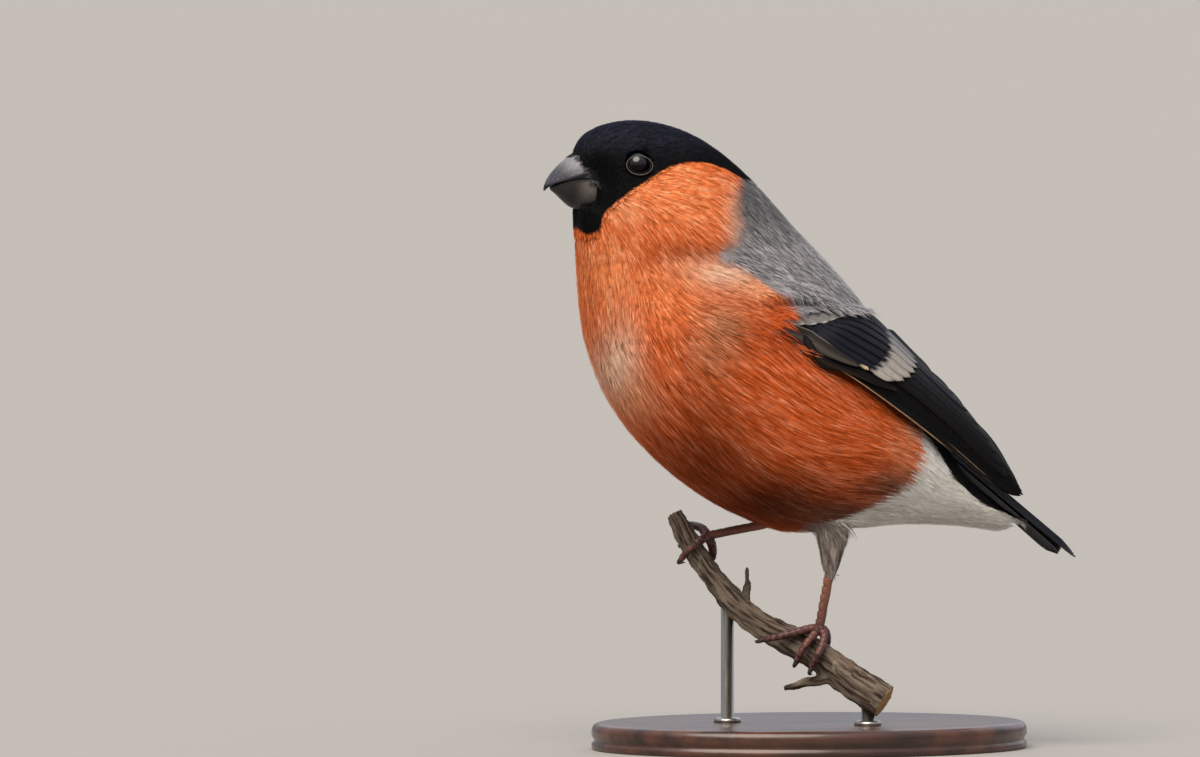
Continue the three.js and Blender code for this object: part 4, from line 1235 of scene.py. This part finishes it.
def tube(bm, path, radii, sides=10):
    # a round tube along points in millimetres, its frame carried from one point to the next
    path = np.asarray(path, float)
    ways = unit(np.gradient(path, axis=0))
    angles = 2 * math.pi * np.arange(sides)[:, None] / sides
    side = unit(np.cross(ways[0], [0.31, 0.17, 0.93]))
    rings = []
    for point, way, radius in zip(path, ways, radii):
        side = unit(flatTo(side, way))
        rings.append(point + radius * (np.cos(angles) * side + np.sin(angles) * np.cross(way, side)))
    loft(bm, rings)


def lidRing(bm, hand, side, reach, thick, code, out, shift, beads):
    # a ring round the eye that lies on the head, further out above, swelling into small beads
    turn = np.linspace(0, 2 * math.pi, 145 if beads else 41)
    dx, dz = shift[0] + reach[0] * np.cos(turn), shift[1] + reach[1] * np.sin(turn)
    y = side(dx, dz) + out * (1 + 0.5 * np.maximum(0, np.sin(turn)))
    path = np.stack([eye["spot"][0] + dx, hand * y, eye["spot"][2] + dz], -1)
    layer = bm.verts.layers.float_color["plumage"]
    before = set(bm.verts)
    tube(bm, path, thick * (1 + beads * np.sin(turn * 36)), 8)
    for vertex in set(bm.verts) - before:
        vertex[layer] = linear(code)


# Legs, feet and claws

stem = {
    "points": [(13.5, -17.5, 11.2), (7.6, -14.2, 15.2), (-0.4, -9.2, 21.8), (-12.6, -2.6, 28.6),
               (-20.6, 4.4, 37.6), (-25.3, 9.2, 45.6), (-28.8, 12.0, 53.2)],
    "lowRadius": 4.5, "highRadius": 2.3, "length": 68, "rods": (0.07, 0.66),
}
foot = {"lift": 1.45, "pad": 1.95, "toe": 1.0, "tarsus": 1.0, "claw": 0.62, "bow": 2.0, "tip": 0.61,
        "scutes": 9, "rings": 46, "legScutes": 8, "legRings": 60, "clawRings": 16}
# Where the pad, the joints and last the claw's tip of each toe are: a share of the stem's length and degrees
# round it from its top, over the near side where positive.
feet = {
    "left": {"pad": (0.315, 8), "toes": {
        "hind": [(0.3, -20), (0.29, -66), (0.285, -108), (0.28, -146)],
        "inner": [(0.345, 34), (0.4, 76), (0.455, 108), (0.485, 142)],
        "middle": [(0.315, 34), (0.32, 82), (0.325, 124), (0.33, 160)],
        "outer": [(0.285, 28), (0.265, 74), (0.26, 114), (0.255, 152)]}},
    "right": {"pad": (0.87, -6), "toes": {
        "hind": [(0.86, 26), (0.85, 74), (0.845, 122), (0.84, 162)],
        "inner": [(0.845, -28), (0.82, -78), (0.805, -118), (0.8, -158)],
        "middle": [(0.88, -34), (0.89, -88), (0.9, -132), (0.905, -172)],
        "outer": [(0.91, -28), (0.945, -76), (0.965, -116), (0.972, -154)]}},
}


def evenPath(points, count):
    # points spaced evenly along the smooth curve through a few
    fine = railPoints(points, np.linspace(0, 1, 240))
    reach = np.concatenate([[0], np.cumsum(np.linalg.norm(np.diff(fine, axis=0), axis=1))])
    marks = np.linspace(0, reach[-1], count)
    return np.stack([np.interp(marks, reach, fine[:, k]) for k in range(3)], 1)


stemLine = evenPath(stem["points"], 400)


def nearestOn(line, points):
    # the number of the nearest place on a line to each point
    gap = (points ** 2).sum(-1)[..., None] - 2 * points @ line.T + (line ** 2).sum(1)
    return np.argmin(gap, axis=-1)


def roundStem(near):
    # at a place on the stem's line: along it, squarely up from it, and across
    along = unit(stemLine[near + 1] - stemLine[near - 1])
    up = unit(flatTo(np.array([0, 0, 1.0]) + 0 * along, along))
    return along, up, np.cross(along, up)


def onStem(share, turn, clearance):
    # a place round the stem
    spot = share * (len(stemLine) - 1)
    i = min(max(int(spot), 1), len(stemLine) - 2)
    _along, up, near = roundStem(i)
    near = -near if near[1] > 0 else near
    radius = stem["lowRadius"] + (stem["highRadius"] - stem["lowRadius"]) * share
    angle = math.radians(turn)
    return stemLine[i] + (radius + clearance) * (up * math.cos(angle) + near * math.sin(angle))


def scuted(bm, path, radius, taper, scutes, rings, perch=None, pale=(0, 0)):
    # a leg or toe whose side away from the perch steps over a row of scutes; it is pale at its start or end
    line = evenPath(path, rings)
    before = set(bm.verts)
    shares = np.linspace(0, 1, rings)
    radii = radius * (1 - taper * shares)
    radii[0] *= 0.8
    radii[-1] *= 0.6
    tube(bm, line, radii, 12)
    ways = unit(np.gradient(line, axis=0))
    layer = bm.verts.layers.float_color["scute"]
    for vertex in set(bm.verts) - before:
        place = np.array(vertex.co) / mm
        i = nearestOn(line, place)
        out = unit(flatTo(place - line[i], ways[i]))
        front = np.array([-1.0, 0, 0.2]) if perch is None else line[i] - perch[nearestOn(perch, line[i])]
        outside = unit(front)
        facing, back = np.clip(out @ outside, 0, 1), np.clip(-out @ outside, 0, 1)
        step = (shares[i] * scutes) % 1.0
        groove = smooth(0.7, 0.95, step)
        swell = 0.26 * (1 - step) ** 0.7 * facing - 0.1 * groove * facing
        pad = 0.1 * math.sin(math.pi * ((shares[i] * 3) % 1.0)) * back
        vertex.co = Vector(place + out * (swell + pad) * radius) * mm
        # green marks the grooves and blue the raised ends on the side away from the perch, for painted shade
        # and painted highlight
        vertex[layer] = (pale[0] + (pale[1] - pale[0]) * shares[i], facing * groove, facing * (1 - step), 1.0)


def legFinish():
    # red holds how pale the skin is, green the painted shade in the grooves between scutes and blue the
    # painted highlight on their raised ends
    finish = Finish("legSkin", Roughness=0.42, Specular_IOR_Level=0.4)
    pale = finish.wire.node("SeparateColor", None, {"Color": finish.attribute("scute")})
    patches = finish.noise(1.4, 3.0)
    fine = finish.noise(0.28, 3.0)
    colour = pale.mix(patches.between(0.35, 0.68).mix("#3a2322", "#6b423a"), "#96604a")
    # grooves darkened as painted shade and raised ends lightened as painted highlight
    finish.lay("Base Color", colour.shade(fine * 0.6 + 0.6 + pale.other(2) * 0.5 - pale.other(1) * 0.6))
    finish.lay("Roughness", fine * 0.3 + 0.28)
    finish.bump(fine, 0.05)
    return finish.material


def clawFinish():
    finish = Finish("clawHorn", Roughness=0.3, Specular_IOR_Level=0.6)
    finish.lay("Base Color", finish.noise(0.5, 3.0).mix("#15100e", "#3c2f29"))
    return finish.material


def buildLegs():
    skinMaterial, clawMaterial = legFinish(), clawFinish()
    for side in hands:
        pad = onStem(*feet[side]["pad"], foot["pad"])
        heel, knee = (np.array(thighs[side][key]) for key in ("heel", "knee"))
        toes = feet[side]["toes"]
        bm, claws = bmesh.new(), bmesh.new()
        bm.verts.layers.float_color.new("scute")
        scuted(bm, [heel + (knee - heel) * 0.15, heel, (heel + pad) / 2, pad], foot["tarsus"], 0.05,
               foot["legScutes"], foot["legRings"], pale=(1.0, 0.2))
        for *joints, (tipShare, tipTurn) in toes.values():
            places = [onStem(share, turn, foot["lift"]) for share, turn in joints]
            scuted(bm, [pad + (places[0] - pad) * 0.1, *places], foot["toe"], 0.3, foot["scutes"],
                   foot["rings"], stemLine)
            endShare, endTurn = joints[-1]
            bend = onStem((endShare + tipShare) / 2, (endTurn * 2 + tipTurn) / 3, foot["bow"])
            line = evenPath([places[-1], bend, onStem(tipShare, tipTurn, foot["tip"])], foot["clawRings"])
            shares = np.linspace(0, 1, foot["clawRings"])
            tube(claws, line, foot["claw"] * (1.08 - 0.95 * shares ** 0.9), 10)
        addPiece(f"leg_{side}_skin", bm, skinMaterial, "leg_skin",
                 [f"tarsus_{side}", *(f"toe_{side}_{toe}" for toe in toes)])
        addPiece(f"claws_{side}", claws, clawMaterial, "claw_horn", [f"claw_{side}_{toe}" for toe in toes])
    print("legs made")


# Perch and stand

bark = {"voxel": 0.42, "rounds": 4, "ridge": 0.21, "inset": 0.1, "ends": 14, "round": 3.2, "drawn": 0.12}
base = {"half": (50.0, 38.0), "height": 6.0, "segments": 128,
        # height, and how far out from the rim: a small foot, a hollow, a rounded shoulder and the top
        "profile": [(0, -1.0), (0, -0.3), (0.6, 0), (1.4, 0), (1.8, -0.5), (2.2, -0.62), (2.6, -0.4),
                    (3.2, -0.02), (4.4, 0), (5.2, -0.25), (5.75, -0.8), (6.0, -1.6), (6.0, -3.0)]}
rod = {"radius": 1.5, "foot": 2.5, "collar": 3.1, "collarHeight": 1.1, "sunk": 1.0, "segments": 32}


def barkFinish():
    finish = Finish("heatherBark", Roughness=0.85, Specular_IOR_Level=0.25)
    cut = finish.wire.node("SeparateColor", None, {"Color": finish.attribute("cut")})
    plates = finish.noise(0.8, 5.0, source=finish.attribute("grain"))
    specks = finish.noise(0.5, 3.0)
    brown = plates.between(0.36, 0.6).mix("#33271f", "#77685a")
    lichen = finish.noise(3.2, 2.0).between(0.62, 0.72) * 0.4
    outer = lichen.mix(brown.shade(specks * 0.7 + 0.6), "#8f8c7c")
    finish.lay("Base Color", cut.mix(outer, specks.mix("#c9a777", "#a57d4f")))
    finish.bump(plates * 0.7 + specks * 0.5, 0.25)
    return finish.material


def buildPerch():
    mesh = remeshed(copyOf(["perch_stem"]), bark)
    points, normals = perPoint(mesh, "co") / mm, perPoint(mesh, "normal")
    last = len(stemLine)
    near = np.clip(nearestOn(stemLine[::4], points) * 4, 1, last - 2)
    along, up, across = roundStem(near)
    out = flatTo(points - stemLine[near], along)
    angle = np.arctan2(np.sum(out * across, 1), np.sum(out * up, 1))
    length = near / last * stem["length"]
    rise = (np.sin(angle * 5 + length * 0.23) + 0.5 * np.sin(length * 1.7 + 2 * np.sin(angle * 2))
            + 0.6 * np.sin(angle * 11 - length * 0.41 + np.sin(length * 0.9)))
    atEnd = (near < bark["ends"]) | (near > last - 1 - bark["ends"])
    cut = smooth(0.62, 0.85, abs(np.sum(normals * along, axis=1))) * atEnd
    movePoints(mesh, points + normals * (rise * bark["ridge"] * (1 - cut) - bark["inset"])[:, None])
    paintPoints(mesh, np.repeat(cut[:, None], 3, axis=1), "cut")
    # the grain's own space: drawn out along the stem
    grain = [np.cos(angle) * bark["round"], np.sin(angle) * bark["round"], length * bark["drawn"]]
    paintPoints(mesh, np.stack(grain, 1) * mm, "grain")
    addPiece("perch_bark", mesh, barkFinish(), "heather_bark", ["perch_stem"])
    print("perch made")


def woodFinish():
    finish = Finish("baseWood", Roughness=0.32, Specular_IOR_Level=0.5, Coat_Weight=0.35, Coat_Roughness=0.12)
    grain = finish.noise(5.0, 6.0, stretch=(0.12, 1.0, 1.0))
    pores = finish.noise(0.7, 2.0, stretch=(0.08, 1.0, 1.0))
    finish.lay("Base Color", grain.between(0.3, 0.7).mix("#2a1710", "#5b3524").shade(pores * 0.6 + 0.7))
    finish.lay("Roughness", pores * 0.2 + 0.25)
    finish.bump(pores, 0.05)
    return finish.material


def metalFinish():
    finish = Finish("rodMetal", Roughness=0.28, Metallic=1.0)
    brushed = finish.noise(0.6, 3.0, stretch=(1.0, 1.0, 0.05))
    finish.lay("Base Color", brushed.mix("#8d8a84", "#c4c1ba"))
    finish.lay("Roughness", brushed * 0.2 + 0.2)
    return finish.material


def rounds(profile, centre, half, sides):
    # level rings for a turned shape: each of the profile's heights, and how far out from the half sizes
    angles = 2 * math.pi * np.arange(sides) / sides
    circle = np.stack([np.cos(angles), np.sin(angles), 0 * angles], 1)
    return [circle * [half[0] + out, half[1] + out, 0] + [*centre, height] for height, out in profile]


def buildStand():
    bm = bmesh.new()
    loft(bm, rounds(base["profile"], (0, 0), base["half"], base["segments"]))
    addPiece("stand_base_wood", bm, woodFinish(), "base_wood", ["stand_base"])
    metal = metalFinish()
    high, radius, collar, over = base["height"], rod["radius"], rod["collar"], rod["collarHeight"]
    for number, share in enumerate(stem["rods"]):
        x, y, z = stemLine[int(share * (len(stemLine) - 1))]
        bm = bmesh.new()
        loft(bm, rounds([(rod["foot"], radius), (high, radius), (high, collar), (high + over * 0.6, collar),
                         (high + over, collar - 0.5), (high + over, radius), (z - rod["sunk"], radius)],
                        (x, y), (0, 0), rod["segments"]))
        piece = addPiece(f"stand_rod_{number + 1}_metal", bm, metal, "rod_metal", [f"stand_rod_{number + 1}"])
        piece.data.polygons.foreach_set("use_smooth", [len(p.vertices) == 4 for p in piece.data.polygons])
    print("stand made")


# Camera, light and floor

photo = {
    "turn": -12.0,  # camera's way round the bird, in degrees
    "height": 2.0,  # and above the level
    "lens": 400.0, "sensor": 36.0, "away": 3.03, "clip": (0.05, 200),
    "across": -0.0476, "up": 0.08398,  # the picture's middle, to the right of the origin and up from it
}
studio = {
    "floorRadius": 45.0, "floorTones": ("#8f8c88", "#9f9c98"),
    "sky": "#e4e8f0", "zenith": 0.85, "horizon": 0.34,
    "lamps": {"lamp": {"turn": -34.0, "height": 56.0, "power": 3.5, "spread": 50.0, "tone": "#fff4e6"},
              "back": {"turn": 150.0, "height": 40.0, "power": 0.5, "spread": 70.0, "tone": "#eef3ff"}},
}


def aimed(name, data, settings):
    # a camera or lamp that looks from its turn and height at the bird; also the way back from there
    turn, height = math.radians(settings["turn"]), math.radians(settings["height"])
    back = Vector((math.sin(turn) * math.cos(height), -math.cos(turn) * math.cos(height), math.sin(height)))
    made = added(name, data)
    made.rotation_euler = (-back).to_track_quat("-Z", "Y").to_euler()
    return made, back


def addCamera():
    data = bpy.data.cameras.new("camera")
    data.lens = photo["lens"]
    data.sensor_width = photo["sensor"]
    data.clip_start, data.clip_end = photo["clip"]
    camera, back = aimed("camera", data, photo)
    turn = math.radians(photo["turn"])
    right = Vector((math.cos(turn), math.sin(turn), 0))
    camera.location = right * photo["across"] + back.cross(right) * photo["up"] + back * photo["away"]
    bpy.context.scene.camera = camera


def addStudio():
    # distant lamps wide enough for soft shadows, a pale sky and a floor of paper
    for name, settings in studio["lamps"].items():
        data = bpy.data.lights.new(name, "SUN")
        data.energy = settings["power"]
        data.angle = math.radians(settings["spread"])
        data.color = linear(settings["tone"])[:3]
        aimed(name, data, settings)
    world = bpy.data.worlds.new("room")
    world.use_nodes = True
    sky = world.node_tree.nodes["Background"]
    sky.inputs["Color"].default_value = linear(studio["sky"])
    air = Wire(world.node_tree)
    height = air.node("SeparateXYZ", None, {"Vector": air.node("TexCoord", out="Generated")}, "Z")
    power = height.between(-0.1, 0.9) * (studio["zenith"] - studio["horizon"]) + studio["horizon"]
    world.node_tree.links.new(power.socket, sky.inputs["Strength"])
    bpy.context.scene.world = world
    bpy.context.scene.view_settings.view_transform = "Standard"
    bm = bmesh.new()
    bmesh.ops.create_circle(bm, cap_ends=True, segments=96, radius=studio["floorRadius"])
    paper = Finish("paper", Roughness=0.95, Specular_IOR_Level=0.1)
    paper.lay("Base Color", (paper.noise(900, 2.0) * 0.06 + 0.97).mix(*studio["floorTones"]))
    mesh = meshOf("floor", bm)
    mesh.materials.append(paper.material)
    added("floor", mesh)


addCamera()
addStudio()
skinMesh = buildSkin()
vanes = vaneFinish()
vaneMeshes = buildWings(treeIn(joined([skinMesh])), vanes)
vaneMeshes.append(buildTail(vanes))
billMeshes = buildBill()
buildEyes()
buildLegs()
buildPerch()
buildStand()
buildCoat(skinMesh, vaneMeshes)
buildBristles(skinMesh, billMeshes)
